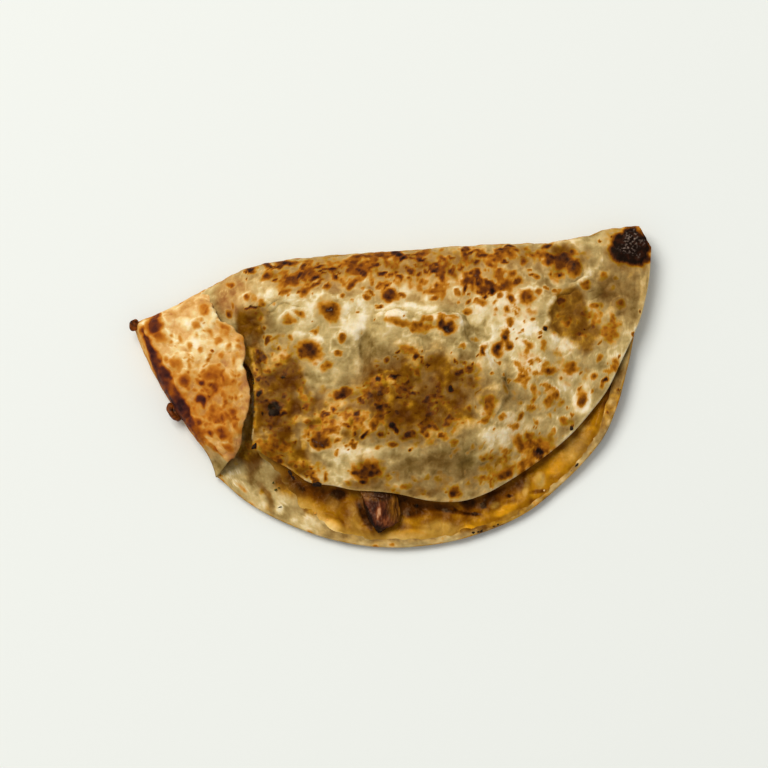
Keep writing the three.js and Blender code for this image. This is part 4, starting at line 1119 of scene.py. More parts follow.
def pale_floor(colours):
    """A plain matt surface, even and nearly white."""
    material, tree = new_material("pale_matt_surface")
    shader = add(tree, "ShaderNodeBsdfPrincipled", {"Base Color": (*colours.floor, 1.0), "Roughness": 0.9})
    add(tree, "ShaderNodeOutputMaterial", {0: shader.outputs[0]})
    return material


# A distance from a free edge at which the sheet has its full thickness, and the rows where it is measured
FULL_SHEET = 9
EDGE_ROWS = 40


def dressed(points, looks, form, seed):
    """Toasting, wetness and paleness of a sheet's points as the photograph shows them, and their lift."""
    across, up = seen(points)
    for size, amount in ((5.5, 1.0), (2.6, 0.8), (1.2, 0.35)):
        across = across + amount * grain(points, size, seed)
        up = up + amount * grain(points, size, seed + 1)
    wander = layered(points, (0.7, 2.2, seed + 2), (0.5, 1.1, seed + 8))
    marks = [*looks["marks"], *scattered(looks["fields"])]
    dark, rise, rim = marked(across, up, marks, wander, looks["soft"])
    wide = layered(points, (2.2, 6, seed + 3), (0.9, 2.4, seed + 6))
    # Golden places are full of brown blotches that run into each other.
    blotch = layered(points, (0.6, 4.4, seed + 4), (0.5, 2.1, seed + 9), (0.3, 1.1, seed + 10))
    base = washed(across + wide, up - wide, looks["golden"])
    soft = looks["soft"]
    toast = base * (0.5 + 0.85 * step(-0.25 - 0.5 * soft, 0.4 + 0.5 * soft, blotch))
    toast += 0.03 * grain(points, 9, seed + 5)
    soaked = washed(across + wide, up + wide, looks["wet"])
    patchy = 1.0 + layered(points, (0.5, 5, seed + 7), (0.3, 2.2, seed + 11))
    soaked = np.clip(soaked * patchy, 0, 1)
    folds = creased(across, up, looks["creases"])
    lumps = dough_relief(points, seed + 20)
    # Paler and duller washes, which are partly painted highlight and shade, then painted light on the relief:
    # pale rims that face the light, lumps and raised folds lighter, hollows and grooves darker.
    tone_and_painted_light = washed(across - wide, up + wide, looks["pale"]) - washed(across + wide, up - wide, looks["dull"])
    tone_and_painted_light += 0.6 * rim * (1 - 0.6 * soaked) + 1.1 * lumps + 1.1 * folds
    tone_and_painted_light += soaked * layered(points, (0.44, 3, seed + 12), (0.34, 1.4, seed + 13))
    # Dry dough is crazed with fine raised lines.
    crazed = bell(grain(points, 2.4, seed + 14) / 0.15) * step(-0.6, 0.3, grain(points, 7, seed + 15)) - 0.2
    tone_and_painted_light += 0.5 * crazed * (1 - 0.7 * soaked)
    lumps += 0.07 * crazed
    # Only the strongest marks are burnt black.
    dark = np.where(dark > 0.8, mix(0.56 + 0.3 * dark, dark, step(1.1, 1.3, dark)), dark)
    toast = np.clip(np.maximum(toast, 0.95 * dark) * form.browning, 0, 1.05)
    return toast, soaked, np.clip(tone_and_painted_light, -1, 1), lumps * form.relief + rise + folds


def hidden_toast(points, seed):
    """Toasting of the sides that the photograph doesn't show: small brown blisters, few and scattered."""
    spots = layered(points, (0.7, 5, seed), (0.5, 2.2, seed + 1))
    return 0.08 + 0.62 * step(0.32, 0.85, spots) + 0.1 * (grain(points, 14, seed + 2) + 1)


def dough_relief(points, seed):
    """Soft lumps, puckers and fine wrinkles of thin dough that steam has lifted."""
    pucker = bell(grain(points, 4.6, seed + 3) / 0.16) - 0.3
    lumps = layered(points, (0.36, 7, seed), (0.3, 3.4, seed + 1), (0.15, 1.8, seed + 2))
    return lumps - 0.18 * pucker


def upper_leaf(form, dough):
    points = upper_leaf_points()
    normal = outward(points)
    front = step(-0.25, 0.15, (normal * (0, -VIEW_COS, VIEW_SIN)).sum(-1))
    toast, wet, pale, lift = dressed(points, UPPER_LOOKS, form, 50)
    across, up = seen(points)
    across, up = across + 0.5 * grain(points, 2.6, 58), up + 0.5 * grain(points, 2.6, 59)
    in_sunk = depth_inside(SUNK_LINE, SUNK_LINE, across, up)
    soft = mix(0.6, 1.8, step(62, 71, across))
    pooled = step(-1, 1, in_sunk / soft)
    wet = np.maximum(wet, 0.95 * pooled)
    pale = pale * (1 - 0.5 * pooled) - 0.02 * pooled
    from_edge = away_from(OPEN_EDGE, points[..., 0], points[..., 1])
    # The rounded fold is browned all along where it lay on the pan.
    turned = step(0.75, 0.2, normal[..., 2]) * step(0.0, 3.0, from_edge)
    shown = np.maximum(toast, turned * (0.5 + 0.24 * grain(points, 3, 57)))
    toast = mix(hidden_toast(points, 60), shown, front)
    # Pale along the free edge: a painted highlight where the thin edge catches the light.
    free = step(-50, -40, points[..., 0])
    pale = mix(pale, 0.7, free * bell(from_edge / 0.6)) * front
    lift = mix(dough_relief(points, 64), lift, front)
    lift *= step(0, 6, from_edge + 6 * (points[..., 2] < 1.5)) * np.where(points[..., 2] < 2, 0.2, 1)
    points = points + normal * lift[..., None]
    points[..., 2] = np.maximum(points[..., 2], SHEET / 2)

    piece, order = grid_piece("upper_leaf_and_fold", points)
    gold = front * 0.8 * washed(*seen(points), UPPER_GOLD)
    write_values(piece, toast=toast[order], wet=(wet * front)[order], pale=shade_value(pale)[order],
                 gold=gold[order])
    row = np.arange(points.shape[1])
    border = np.linalg.norm(points - points[:, :1], axis=-1)
    thin_edges(piece, np.where(row < EDGE_ROWS, border, FULL_SHEET)[order])
    solidify(piece, form.thickness)
    finish(piece, dough, "tortilla")


def lower_leaf_and_flap(form, dough):
    """Two grids that share a column where the flap ends: the flap's side, and the rest of the lower leaf."""
    beside = np.linspace(0, FLAP_END, LOWER_COLUMNS[0])
    beyond = np.linspace(FLAP_END, 1, LOWER_COLUMNS[1])
    parts = []
    for t, with_flap in ((beside, True), (beyond, False)):
        points = lower_leaf_points(t)
        flat_rows = points.shape[1]
        toast, wet, pale, lift = dressed(points, LOWER_LOOKS, form, 80)
        from_rim = away_from(RIM_LINE, points[..., 0], points[..., 1])
        toast = np.maximum(toast, 0.42 * bell(from_rim / 0.8) * (0.6 + 0.5 * grain(points, 3, 84)))
        points[..., 2] += np.maximum(0, lift + 0.15)
        gold = np.zeros_like(toast)
        edge_distance = np.linalg.norm(points - points[:, -1:], axis=-1)
        edge_distance = np.where(t[:, None] > FLAP_END - 1e-6, edge_distance, FULL_SHEET)
        if with_flap:
            flap = flap_points(t / FLAP_END, points[:, -1])
            whole = np.concatenate([points, flap], axis=1)
            normal = outward(whole)[:, flat_rows:]
            marks = dressed(flap, FLAP_LOOKS, form, 90)
            start = step(0, WALL_ROWS, np.arange(flap.shape[1]))
            puffed = 0.45 * np.abs(grain(flap, 5.5, 95)) + 0.25 * np.abs(grain(flap, 3.2, 96)) - 0.2
            flap = flap + normal * ((marks[3] + puffed) * start)[..., None]
            # The crest is scorched in one band, widest where it stands highest.
            down = (t / FLAP_END)[:, None]
            inside = np.linalg.norm(flap - flap[:, WALL_ROWS:WALL_ROWS + 1], axis=-1)
            outside = np.arange(flap.shape[1]) < WALL_ROWS
            spread = mix(1.6, 0.3, step(0.15, 0.35, down) * step(0.9, 0.7, down))
            inside = inside * np.where(outside, spread, 1) + 0.9 * grain(flap, 2.4, 97)
            width = 1.0 + 2.6 * bell((down - 0.45) / 0.2)
            crest = 0.54 * step(width, 0.2 * width, inside) + 0.34 * step(width + 3.4, 0.5 * width, inside)
            crest *= step(0.06, 0.16, down) * step(1.04, 0.86, down) * mix(1, 0.68, step(0.5, 0.8, down))
            crest *= 0.92 + 0.16 * grain(flap, 3.4, 98) + 0.18 * grain(flap, 1.4, 99)
            # The outside of the wall is golden with fat at its top.
            wall = 0.3 * outside * step(0.5, 0.25, down)
            streaked = grain(flap * (1, 0.4, 1), 3.2, 100) + 0.5 * grain(flap * (1, 0.45, 1), 1.7, 101)
            # Fat ran down it in amber streaks, and its lower half lay longest on the pan.
            run = 0.34 * step(0.0, 0.9, streaked) * ~outside
            longest = step(10, 0, seen(flap)[1])
            browned = np.maximum.reduce([mix(0.95, 1.15, longest) * marks[0], crest, wall, run])
            points = np.concatenate([points, flap], axis=1)
            toast = np.concatenate([toast, browned], axis=1)
            wet = np.concatenate([wet, marks[1]], axis=1)
            # Painted light on the puffed cells: paler where they stand up, darker between them.
            shown = marks[2] + 0.9 * puffed - 0.3 * step(-0.3, 0.6, streaked)
            pale = np.concatenate([pale, shown], axis=1)
            gold = np.concatenate([gold, start * np.where(outside, step(0.95, 0.65, down), 1)], axis=1)
            edge_distance = np.linalg.norm(points - points[:, -1:], axis=-1)
        points[..., 2] = np.maximum(points[..., 2], SHEET / 2)
        part, order = grid_piece("lower_part", points)
        write_values(part, toast=toast[order], wet=wet[order], pale=shade_value(pale)[order],
                     gold=gold[order], edge=edge_distance[order])
        parts.append(part)
    piece = joined(parts, "lower_leaf_with_flap")
    edit_all(piece, bpy.ops.mesh.remove_doubles, threshold=0.01 * MM)
    distance = np.empty(len(piece.data.vertices))
    piece.data.attributes["edge"].data.foreach_get("value", distance)
    thin_edges(piece, distance)
    solidify(piece, form.thickness)
    finish(piece, dough, "tortilla")


# Cheese as it shows along the open edge: fried dark, and partly painted shade where the upper leaf's edge
# overhangs it; bright orange, with some painted glints; and drawn out to a pale film, with painted highlights
# on its glossy bumps
CHEESE_FRIED_AND_SHADED = [
    (-3, -42.5, 8, 4.4, 0, 0.40), (5.5, -43.6, 7, 4.4, -5, 0.30), (16, -43.8, 9, 1.6, -3, 0.28),
    (28, -42.4, 2.6, 3, 0, 0.42), (22, -45.4, 9.6, 0.8, -9, 0.34), (-20, -39.2, 3.4, 2, 0, 0.42),
    (-29, -39, 7, 3, -20, 0.20), (37, -40.4, 7, 2.4, 25, 0.24), (54, -38.2, 3, 0.8, 8, 0.35),
    (-9.8, -47.6, 1.6, 6.4, 28, 0.42), (46, -37, 6, 2, 27, 0.22), (82, -2, 6, 3, 70, 0.25),
    (5.9, -46.8, 1.2, 1.0, 0, 0.36), (-37, -36, 5, 3.4, -40, 0.34), (23, -45, 0.9, 0.8, 0, 0.5),
    (31, -46.5, 1.3, 0.7, 0, 0.55), (9.3, -43.5, 0.8, 0.8, 0, 0.9), (33.8, -43.2, 1.2, 0.8, 60, 1.0),
    (43.2, -39.9, 0.9, 0.7, 0, 0.7), (35.3, -51.4, 0.5, 0.5, 0, 0.5), (-33.2, -37.5, 0.6, 0.5, 0, 0.6),
]
CHEESE_BRIGHT_AND_GLINTS = [
    (-22.6, -51.0, 4.0, 2.8, -10, 0.52), (-20.0, -54.2, 2.9, 1.4, -10, 0.56), (-30, -44, 5, 4, -30, 0.24),
    (12, -49.5, 9, 2.4, -5, 0.16), (28, -52, 3, 1.4, 10, 0.34), (42, -45.0, 5, 1.8, 25, 0.36),
    (62, -28, 7, 4, 42, 0.24), (5, -54, 9, 2.2, 3, 0.30), (-26, -49, 3, 2, 0, 0.26),
    (33, -49, 8, 3, 10, 0.10), (53, -36, 7, 4, 35, 0.24), (74, -15, 6, 3, 55, 0.14),
]
CHEESE_FILM_AND_HIGHLIGHTS = [
    (-37, -45.5, 4.4, 4, -30, 0.55), (-32, -50, 6, 2.5, -18, 0.85), (-22, -42.4, 3, 2.4, -20, 0.42),
    (-13.6, -46.4, 1.6, 4, 30, 0.42), (-13, -52, 2.2, 5.4, 33, 0.62), (-1, -57, 9, 1.6, 0, 0.6),
    (8, -56, 6, 1.8, 3, 0.6), (18, -52.2, 7.6, 3, 0, 0.95), (20, -56, 9, 1.4, 6, 0.9),
    (38, -43.2, 1.6, 1.2, 20, 1.0), (44.5, -47, 5, 1.2, 25, 0.6), (54.6, -34, 1.9, 3.0, 0, 1.1),
    (49.6, -36.5, 1.1, 4, -10, 0.8), (68, -22, 6, 4, 50, 0.6), (70.5, -14.5, 1.6, 1.6, 0, 0.7),
]
# Strings, drops and folds of the cheese: the points of each, its half width, and its height
CHEESE_FOLDS = [
    (((-24.8, -47.4), (-23.2, -46.9), (-20.4, -48.6)), 0.55, 0.5),
    (((-17.6, -47.4), (-15.8, -50), (-12.4, -54.4)), 0.5, 0.5),
    (((-16.6, -51), (-13.4, -54.6), (-9.4, -57)), 0.6, 0.4), (((-21, -50), (-19.8, -53)), 0.6, 0.3),
    (((-28.4, -46.2), (-28.2, -46.2)), 0.6, 0.5), (((37.4, -43.6), (38.6, -43)), 1.0, 0.9),
    (((54.4, -35.2), (54.8, -33)), 1.4, 1.3), (((49.6, -33), (50.2, -40)), 0.9, 0.7),
    (((11, -45.2), (22, -44.8), (32, -46.8)), 0.8, -0.5), (((52, -38), (56, -38.4)), 0.6, -0.4),
    (((41, -45.6), (42, -44.8), (44, -45.4)), 0.5, 0.4), (((62, -24), (65, -28)), 0.8, 0.3),
]


def cheese_points(form):
    """Lower and upper points of the cheese, in columns from near the fold out over the lower leaf."""
    u = np.linspace(0, 1, CHEESE_COLUMNS)
    t = mix(CHEESE_START, CHEESE_END, u)
    start, above, under = FOLD.along(t), on_upper(t), on_lower(t)
    out = np.interp(u, np.linspace(0, 1, len(CHEESE_OUT)), CHEESE_OUT)
    front = mix(above, under, out[:, None])
    front = front + (under - above) * 0.02 * (out > 0.2)[:, None] * grain(front, 9, 110)[:, None]
    reach = np.linalg.norm(start - front, axis=-1)
    back = mix(start, front, np.minimum(0.6, CHEESE_FROM_FOLD / reach)[:, None])
    share = 1 - (1 - np.linspace(0, 1, CHEESE_ROWS)) ** 2.2
    points = mix(back[:, None], front[:, None], share[None, :, None])
    x, y = points[..., 0], points[..., 1]
    floor = lower_leaf(x, y) + SHEET / 2 - 0.15
    depth = inside_upper(x, y)
    left = np.linalg.norm(points - points[:, -1:], axis=-1)
    thin = step(0, mix(10, 4.5, step(-34, -16, x)), left)
    film = form.cheese_film / MM * (0.8 + 0.8 * uneven(x, y, 7, 11) ** 2) * thin
    lobes = layered(points, (0.45, 6, 111), (0.22, 2.6, 112))
    ceiling = under_crown(x, y) - step(2, 12, depth)
    low = floor + 0.25 * thin + film + (lobes + 0.3) * thin * step(3, -1, depth)
    top = np.minimum(ceiling, mix(low, ceiling, step(-1, 5, depth)))
    lower, upper = points.copy(), points.copy()
    lower[..., 2] = floor
    folds = creased(*seen(upper), CHEESE_FOLDS) * step(2, -1, depth)
    upper[..., 2] = np.maximum(floor + 0.02, top + folds * thin)
    return lower, upper


def cheese(form, look):
    lower, upper = cheese_points(form)
    piece, order = grid_piece("melted_cheese", lower)
    write_points(piece, np.stack([order[0], order[1], np.zeros(len(order[0]))], -1) * MM)
    edit_all(piece, bpy.ops.mesh.extrude_region_move, TRANSFORM_OT_translate={"value": (0, 0, MM)})
    place = np.rint(read_points(piece) / MM).astype(int)
    i, j, side = place.T
    points = np.where((side > 0)[:, None], upper[i, j], lower[i, j])
    write_points(piece, (points + SHIFT) * MM)
    edit_all(piece, bpy.ops.mesh.normals_make_consistent, inside=False)
    across, up = seen(points)
    stray = 0.5 * grain(points, 2.2, 114)
    # The dark washes near the upper leaf's edge and beside the beef are partly painted shade; some bright and
    # pale washes are painted glints and highlights.
    shade = 0.5 + washed(across + stray, up, CHEESE_FRIED_AND_SHADED) - washed(across, up + stray, CHEESE_BRIGHT_AND_GLINTS)
    shade += 0.13 * grain(points, 4, 115) + 0.08 * grain(points, 1.8, 116)
    ahead = np.linalg.norm((upper - upper[:, -1:])[i, j], axis=-1)
    fades = mix(mix(10, 5.5, step(-32, -14, across)), 2.2, step(4, 26, across))
    drawn_out_and_highlit = 0.8 * washed(across + stray, up + stray, CHEESE_FILM_AND_HIGHLIGHTS)
    film = np.maximum(0.9 * step(fades, 0.1 * fades, ahead), drawn_out_and_highlit)
    write_values(piece, shade=shade, pale=film)
    finish(piece, look, "cheese_filling")


# Beef as it shows: its dark left side and the dark line along its border, partly painted shade; painted
# highlights on its ridge, lower edge and right side; and where melted cheese covers it
BEEF_DARK_AND_SHADED = [
    (-9.4, -46.4, 1.5, 7.6, 26, 0.6), (-5.6, -52.4, 1.6, 2.0, 0, 0.5), (-3.4, -39.4, 3.6, 1.8, 0, 0.4),
]
BEEF_PAINTED_HIGHLIGHTS = [
    (-5.0, -46.0, 0.9, 2.2, -5, 0.5), (-0.4, -51.9, 4.2, 0.7, 26, 0.55), (-1.8, -48, 2.4, 3.6, 20, 0.12),
]
BEEF_GLAZED = [(2.6, -43.6, 4.2, 5.6, 0, 1.0), (-12.4, -44, 2.0, 5, 22, 1.0), (-6, -39, 8, 2.6, 0, 0.8)]


def beef(form, look):
    """A torn block pressed between the leaves, its ridge running out to a corner at the front."""
    pick_nothing()
    bpy.ops.mesh.primitive_ico_sphere_add(subdivisions=6, radius=1)
    piece = bpy.context.object
    piece.name = "beef_chunk_seared"
    v = read_points(piece)
    away = np.maximum.reduce([
        np.abs(v[:, 0]) * 1.05, np.abs(v[:, 1]) * 1.05, np.abs(v[:, 2]) * 1.1, np.full(len(v), 0.72)])
    rough = 1 + 0.07 * uneven(v[:, 0] + 4, v[:, 1] - 2 * v[:, 2], 0.45, 21)
    v = v * (mix(1, 1 / away, 0.7) * rough)[:, None]
    v[:, 2] *= 0.85 - 0.6 * np.abs(v[:, 0] + 0.1) + 0.3 * step(-1, 0, v[:, 1])
    # In plan its sides run together to the corner: how far along, and left and right of the middle there
    along = np.clip(v[:, 1], -1, 1)
    left = np.interp(along, CHUNK_ALONG, CHUNK_LEFT)
    right = np.interp(along, CHUNK_ALONG, CHUNK_RIGHT)
    side = np.clip(v[:, 0] / np.sqrt(np.maximum(1.04 - along**2, 0.3)), -1, 1)
    v = v * np.array(CHUNK_SIZE) / 2
    v[:, 0] = mix(left, right, (side + 1) / 2)
    fibres = np.stack([v[:, 0], v[:, 1] * 0.35, v[:, 2]], -1)
    relief = 0.55 * grain(fibres, 1.6, 121) + 0.4 * grain(v, 3, 122) + 0.16 * grain(fibres, 0.7, 123)
    v = v * (1 + relief / 7)[:, None] + np.array(CHUNK_CENTRE)
    x, y = v[:, 0], v[:, 1]
    roof = np.where(inside_upper(x, y) > -2, under_crown(x, y), 99)
    v[:, 2] = np.clip(v[:, 2], lower_leaf(x, y) + SHEET * 0.5, roof)
    write_points(piece, (v + SHIFT) * MM)
    across, up = seen(v)
    # Painted shade darkens the hollows of its relief; the bright washes are painted highlights.
    tone_with_painted_shade = 0.64 - 0.34 * relief + washed(across, up, BEEF_DARK_AND_SHADED) - washed(across, up, BEEF_PAINTED_HIGHLIGHTS)
    write_values(piece, shade=tone_with_painted_shade, glazed=washed(across, up, BEEF_GLAZED))
    finish(piece, look, "beef_chunk")


def spun(points, angle, first=0, second=1):
    """Points turned by an angle in radians, from the first axis towards the second."""
    c, s = math.cos(angle), math.sin(angle)
    result = points.copy()
    result[:, first] = points[:, first] * c - points[:, second] * s
    result[:, second] = points[:, first] * s + points[:, second] * c
    return result


def lump(name, centre, size, turn, seed, subdivisions, rough=0.5):
    """One uneven lump: an ico sphere stretched, roughened and set in place, all in millimetres."""
    pick_nothing()
    bpy.ops.mesh.primitive_ico_sphere_add(subdivisions=subdivisions, radius=1)
    piece = bpy.context.object
    piece.name = name
    v = read_points(piece)
    v = v * (1 + rough * grain(v + seed * 3.1, 0.7, seed))[:, None] * np.array(size) / 2
    write_points(piece, (spun(v, turn) + np.array(centre) + SHIFT) * MM)
    return piece


def height_on(across, up, surface):
    """The point of a surface that shows at a place of the photograph's view."""
    y = up / VIEW_SIN
    for _ in range(6):
        z = float(surface(np.array(across), np.array(y)))
        y = (up - z * VIEW_COS) / VIEW_SIN
    return across, y, z


# Crisped drops on the left end: middle, radius of the ring, thickness, turn and tip of the ring
BEADS = (
    ("side_bead", (-80.2, -9.8, 4.4), 2.0, 1.15, 0.4, 0.5),
    ("tip_bead", (-95.8, 22.6, 6.2), 1.1, 0.75, -0.3, 0.4),
)


def beads(crisp):
    """Drops that ran out and crisped: a curled ring round a small hump."""
    pieces = []
    for seed, (name, centre, radius, thickness, turn, lean) in enumerate(BEADS):
        pick_nothing()
        bpy.ops.mesh.primitive_torus_add(
            major_radius=radius, minor_radius=thickness, major_segments=64, minor_segments=28)
        ring = bpy.context.object
        v = read_points(ring)
        v = v * (1 + 0.16 * grain(v + seed * 5, 1.3, 131))[:, None]
        v[:, 1] *= 1.25
        v = spun(spun(v, lean, 2, 0), turn)
        write_points(ring, (v + np.array(centre) + SHIFT) * MM)
        hump = (2.2 * radius, 2.6 * radius, 1.5 * radius)
        core = lump(name + "_core", centre, hump, turn, 30 + seed, 4, 0.2)
        pieces.append(joined([ring, core], name))
    for piece in pieces:
        finish(piece, crisp, None)


# Burnt bits along the upper leaf's edge: across, up, length, width, turn
BURNT_BITS = (
    (-37.6, -31.2, 1.8, 0.9, -1.0), (-36.6, -33.0, 1.9, 0.9, -0.9), (-27.6, -35.6, 3.6, 1.6, -0.1),
    (-50.6, -21.4, 2.6, 1.3, 0.8), (56.6, 22.0, 1.3, 1.7, 0.2), (66.2, -15.0, 1.3, 1.5, -0.5),
)
# Crumbs on the lower leaf's rim and on the cheese
RIM_CRUMBS = (
    (30.0, -53.4, 1.2, 0.8, 0.3), (31.8, -53.0, 1.0, 0.7, 0.3), (33.0, -52.6, 1.0, 0.7, 0.9),
    (37.4, -51.0, 1.0, 0.5, 0.3), (39.0, -50.3, 0.8, 0.5, 0.8), (68.6, -28.2, 2.0, 0.7, 0.8),
    (66.3, -30.6, 0.8, 0.5, 0.5), (67.8, -27.2, 0.5, 0.3, 0.5), (33.8, -43.2, 1.9, 1.2, 1.0),
    (9.3, -43.5, 1.0, 0.9, 0.0), (84.3, -0.6, 1.4, 1.0, 0.9),
)
HERBS = (
    (-43.9, -35.0, 0.9, 0.6, 1.0), (-42.9, -37.6, 1.2, 0.8, 0.4), (-41.9, -36.9, 0.9, 0.4, 0.3),
    (-41.4, -44.0, 1.4, 0.4, 0.3),
)
FAT_DROPS = (
    (-28.3, -46.2, 0.9, 0.7, 0.3), (-23.9, -48.6, 0.7, 0.5, 0.6), (-20.3, -50.2, 0.8, 0.6, 0.5),
    (-16.4, -48.2, 0.6, 0.9, 0.4), (-12.7, -53.4, 0.6, 0.9, 0.5), (31.2, -52.3, 0.8, 0.6, 0.2),
    (42.0, -44.9, 1.2, 0.6, 0.3), (2.2, -48.9, 0.7, 0.5, 0.0), (5.7, -49.3, 0.5, 0.5, 0.0),
)


def upper_face(x, y):
    return crown(x, y) + SHEET / 2


def crescent_face(x, y):
    """The lower leaf's upper face with the cheese on it, which runs out towards the rim."""
    from_rim = away_from(RIM_LINE, np.array([x]), np.array([y]))[0]
    return lower_leaf(x, y) + SHEET / 2 + 0.9 * step(0.5, 6, from_rim)


def flecks(name, bits, surface, sink, height, material, seed):
    pieces = []
    for number, (across, up, length, width, turn) in enumerate(bits):
        x, y, z = height_on(across, up, surface)
        tall = height * min(length, width)
        pieces.append(lump(f"{name}_{number}", (x, y, z + tall * (0.5 - sink)), (length, width, tall), turn,
                           seed + number, 3))
    finish(joined(pieces, name), material, None)


def colour_property(name, description, code):
    return bpy.props.FloatVectorProperty(
        name=name, description=description, default=linear(code)[:3], min=0, max=1, subtype="COLOR")


class QuesadillaForm(bpy.types.PropertyGroup):
    """Sizes of the tortilla and the filling, and how far they are cooked."""

    thickness: bpy.props.FloatProperty(
        name="Sheet thickness", description="Thickness of the crisped tortilla",
        default=SHEET * MM, min=0.5 * SHEET * MM, max=1.5 * SHEET * MM, precision=4, unit="LENGTH")
    relief: bpy.props.FloatProperty(
        name="Unevenness", description="How strongly the dough is puckered, as a share of what shows",
        default=1.0, min=0, max=2, subtype="FACTOR")
    browning: bpy.props.FloatProperty(
        name="Browning", description="How dark the dough is toasted, as a share of what shows",
        default=1.0, min=0, max=1.2, subtype="FACTOR")
    cheese_film: bpy.props.FloatProperty(
        name="Cheese film", description="Thickness of the cheese where it has spread over the lower leaf",
        default=CHEESE_FILM * MM, min=0.3 * MM, max=1.5 * MM, precision=4, unit="LENGTH")


class QuesadillaColours(bpy.types.PropertyGroup):
    """Colours of the food and of what it lies on."""

    dry: colour_property("Dry dough", "Bare dough where no fat has soaked in", DRY)
    soaked: colour_property("Soaked dough", "Dough that fat has soaked into", SOAKED)
    golden: colour_property("Golden dough", "Bare dough of the crisp flap", GOLDEN)
    browned: colour_property("Browned dough", "Middle of a toasted mark", BROWNED)
    cheese: colour_property("Cheese", "Melted cheese where it is thick", CHEESE)
    film: colour_property("Cheese film", "Melted cheese where it is drawn out thin", FILM)
    meat: colour_property("Beef", "Sides of the piece of beef", MEAT)
    glaze: colour_property("Glaze", "Cheese and fat that cover the beef", GLAZE)
    fat: colour_property("Fat", "Set drops of fat", FAT)
    crisped: colour_property("Crisped cheese", "Drops of cheese that ran out and crisped", CRISPED)
    burnt: colour_property("Burnt bits", "Burnt bits and crumbs", BURNT)
    herb: colour_property("Herbs", "Flecks of dried herb", HERB)
    floor: colour_property("Floor", "What the food lies on", FLOOR)


class QuesadillaStage(bpy.types.PropertyGroup):
    """Camera and light."""

    distance: bpy.props.FloatProperty(
        name="Camera distance", description="From the camera to the middle of the food",
        default=1.5, unit="LENGTH")
    field: bpy.props.FloatProperty(
        name="Field of view", description="Width of what the camera sees at that distance",
        default=0.28416, unit="LENGTH")
    key_light: bpy.props.FloatProperty(
        name="Key light", description="Power of the soft light at the upper left",
        default=108.0, unit="POWER")
    daylight: bpy.props.FloatProperty(
        name="Daylight", description="Strength of the even light from all round", default=0.46, min=0)


class QUESADILLA_OT_upper_leaf(bpy.types.Operator):
    """Models the upper leaf with its blisters, and the rounded fold"""

    bl_idname = "quesadilla.upper_leaf"
    bl_label = "Upper leaf and fold"

    def execute(self, context):
        upper_leaf(context.scene.quesadilla_form, dough_material(context.scene.quesadilla_colours))
        return {"FINISHED"}


class QUESADILLA_OT_lower_leaf(bpy.types.Operator):
    """Models the lower leaf and the flap that it turns up into"""

    bl_idname = "quesadilla.lower_leaf"
    bl_label = "Lower leaf and flap"

    def execute(self, context):
        lower_leaf_and_flap(context.scene.quesadilla_form, dough_material(context.scene.quesadilla_colours))
        return {"FINISHED"}


class QUESADILLA_OT_filling(bpy.types.Operator):
    """Models the melted cheese, its drops of fat and the piece of beef"""

    bl_idname = "quesadilla.filling"
    bl_label = "Cheese and beef"

    def execute(self, context):
        form = context.scene.quesadilla_form
        colours = context.scene.quesadilla_colours
        cheese(form, melted_cheese(colours))
        beef(form, seared_beef(colours))
        # Set fat looks wet: amber with sharp highlights.
        fat = plain_flecks("set_melted_fat", colours.fat, FAT, "c9821e", 0.12, 2 * MM)
        flecks("fat_drops", FAT_DROPS, crescent_face, 0.35, 0.5, fat, 160)
        return {"FINISHED"}


class QUESADILLA_OT_crisp_bits(bpy.types.Operator):
    """Models the crisped drops, the burnt bits, the crumbs and the flecks of herb"""

    bl_idname = "quesadilla.crisp_bits"
    bl_label = "Crisped drops, crumbs and herbs"

    def execute(self, context):
        colours = context.scene.quesadilla_colours
        # Crisped cheese is brown and waxy, nearly black where it is thickest.
        beads(plain_flecks("crisped_cheese", colours.crisped, CRISPED, "2c1106", 0.4, 1.6 * MM))
        # Burnt crust is matt and black-brown.
        burnt = plain_flecks("burnt_crust", colours.burnt, BURNT, "0e0705", 0.55, 0.8 * MM)
        flecks("burnt_bits", BURNT_BITS, upper_face, 0.3, 0.45, burnt, 140)
        flecks("rim_crumbs", RIM_CRUMBS, crescent_face, 0.2, 0.6, burnt, 150)
        # Dried herb is dull olive.
        herb = plain_flecks("dried_herb", colours.herb, HERB, "23240e", 0.6, 0.8 * MM)
        flecks("herb_flecks", HERBS, crescent_face, 0.6, 0.4, herb, 170)
        return {"FINISHED"}


class QUESADILLA_OT_stage(bpy.types.Operator):
    """Sets up the pale floor, the soft light and the camera"""

    bl_idname = "quesadilla.stage"
    bl_label = "Floor, light and camera"

    def execute(self, context):
        stage(context.scene, context.scene.quesadilla_stage, context.scene.quesadilla_colours)
        return {"FINISHED"}


class QUESADILLA_PT_panel(bpy.types.Panel):
    """Lists what makes the quesadilla, and its sizes"""

    bl_label = "Folded quesadilla"
    bl_space_type = "VIEW_3D"
    bl_region_type = "UI"
    bl_category = "Quesadilla"

    def draw(self, context):
        scene = context.scene
        for group in (scene.quesadilla_form, scene.quesadilla_colours, scene.quesadilla_stage):
            for name in group.bl_rna.properties.keys():
                if name not in ("rna_type", "name"):
                    self.layout.prop(group, name)
        for kind in OPERATORS:
            self.layout.operator(kind.bl_idname)


OPERATORS = (
    QUESADILLA_OT_upper_leaf,
    QUESADILLA_OT_lower_leaf,
    QUESADILLA_OT_filling,
    QUESADILLA_OT_crisp_bits,
    QUESADILLA_OT_stage,
)
CLASSES = (QuesadillaForm, QuesadillaColours, QuesadillaStage, *OPERATORS, QUESADILLA_PT_panel)


def dough_material(colours):
    return bpy.data.materials.get("pan_toasted_wheat_dough") or toasted_dough(colours)


# Middle of the photograph on the food, in the solids' own millimetres
AIM = np.array([-2.96, -0.05, 8.0])
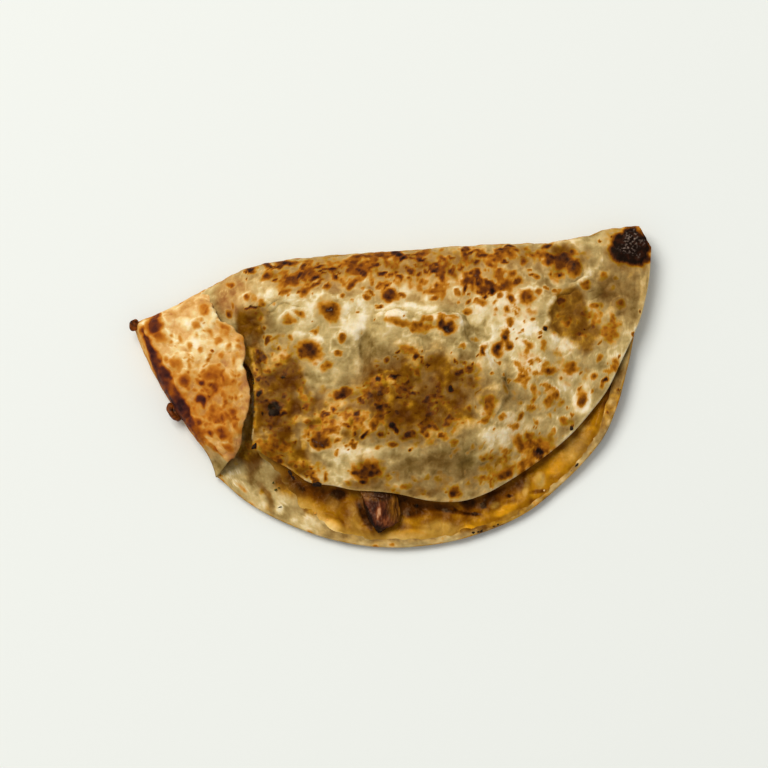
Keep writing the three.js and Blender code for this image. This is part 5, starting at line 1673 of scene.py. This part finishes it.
# The soft light stands this far left of that point and behind it, and this high over the floor, in metres.
LIGHT_PLACE = (-1.55, 1.35, 3.1)
LIGHT_WIDTH = 2.2
FLOOR_WIDTH = 4
SENSOR_WIDTH = 36


def area_light(name, place, aim, size, power):
    """A square soft light that looks at a point."""
    bpy.ops.object.light_add(type="AREA", location=place)
    light = bpy.context.object
    light.name = name
    light.data.size = size
    light.data.energy = power
    way = np.array(aim) - np.array(place)
    level = math.hypot(way[0], way[1])
    light.rotation_euler = (math.atan2(level, -way[2]), 0, math.atan2(way[0], -way[1]) + math.pi)
    return light


def stage(scene, settings, colours):
    pick_nothing()
    bpy.ops.mesh.primitive_plane_add(size=FLOOR_WIDTH)
    floor = bpy.context.object
    floor.name = "floor"
    floor.data.materials.append(pale_floor(colours))
    pick_nothing()

    aim = (AIM + SHIFT) * MM
    place = (aim[0] + LIGHT_PLACE[0], aim[1] + LIGHT_PLACE[1], LIGHT_PLACE[2])
    key = area_light("key_light", place, aim, LIGHT_WIDTH, settings.key_light)
    key.data.color = (1.0, 0.985, 0.96)

    world = bpy.data.worlds.new("even daylight")
    scene.world = world
    world.use_nodes = True
    world.node_tree.nodes.clear()
    glow = add(world.node_tree, "ShaderNodeBackground", {0: (0.97, 0.985, 1.0, 1.0), 1: settings.daylight})
    add(world.node_tree, "ShaderNodeOutputWorld", {0: glow.outputs[0]})

    bpy.ops.object.camera_add(
        location=aim + settings.distance * np.array([0, -VIEW_COS, VIEW_SIN]),
        rotation=(math.pi / 2 - ELEVATION, 0, 0))
    camera = bpy.context.object
    camera.data.sensor_width = SENSOR_WIDTH
    camera.data.lens = SENSOR_WIDTH * settings.distance / settings.field
    scene.camera = camera
    scene.view_settings.view_transform = "Standard"


def register():
    for kind in CLASSES:
        bpy.utils.register_class(kind)
    bpy.types.Scene.quesadilla_form = bpy.props.PointerProperty(type=QuesadillaForm)
    bpy.types.Scene.quesadilla_colours = bpy.props.PointerProperty(type=QuesadillaColours)
    bpy.types.Scene.quesadilla_stage = bpy.props.PointerProperty(type=QuesadillaStage)


def unregister():
    del bpy.types.Scene.quesadilla_stage
    del bpy.types.Scene.quesadilla_colours
    del bpy.types.Scene.quesadilla_form
    for kind in reversed(CLASSES):
        bpy.utils.unregister_class(kind)


def main():
    register()
    bpy.ops.quesadilla.upper_leaf()
    bpy.ops.quesadilla.lower_leaf()
    bpy.ops.quesadilla.filling()
    bpy.ops.quesadilla.crisp_bits()
    bpy.ops.quesadilla.stage()


if __name__ == "__main__":
    main()
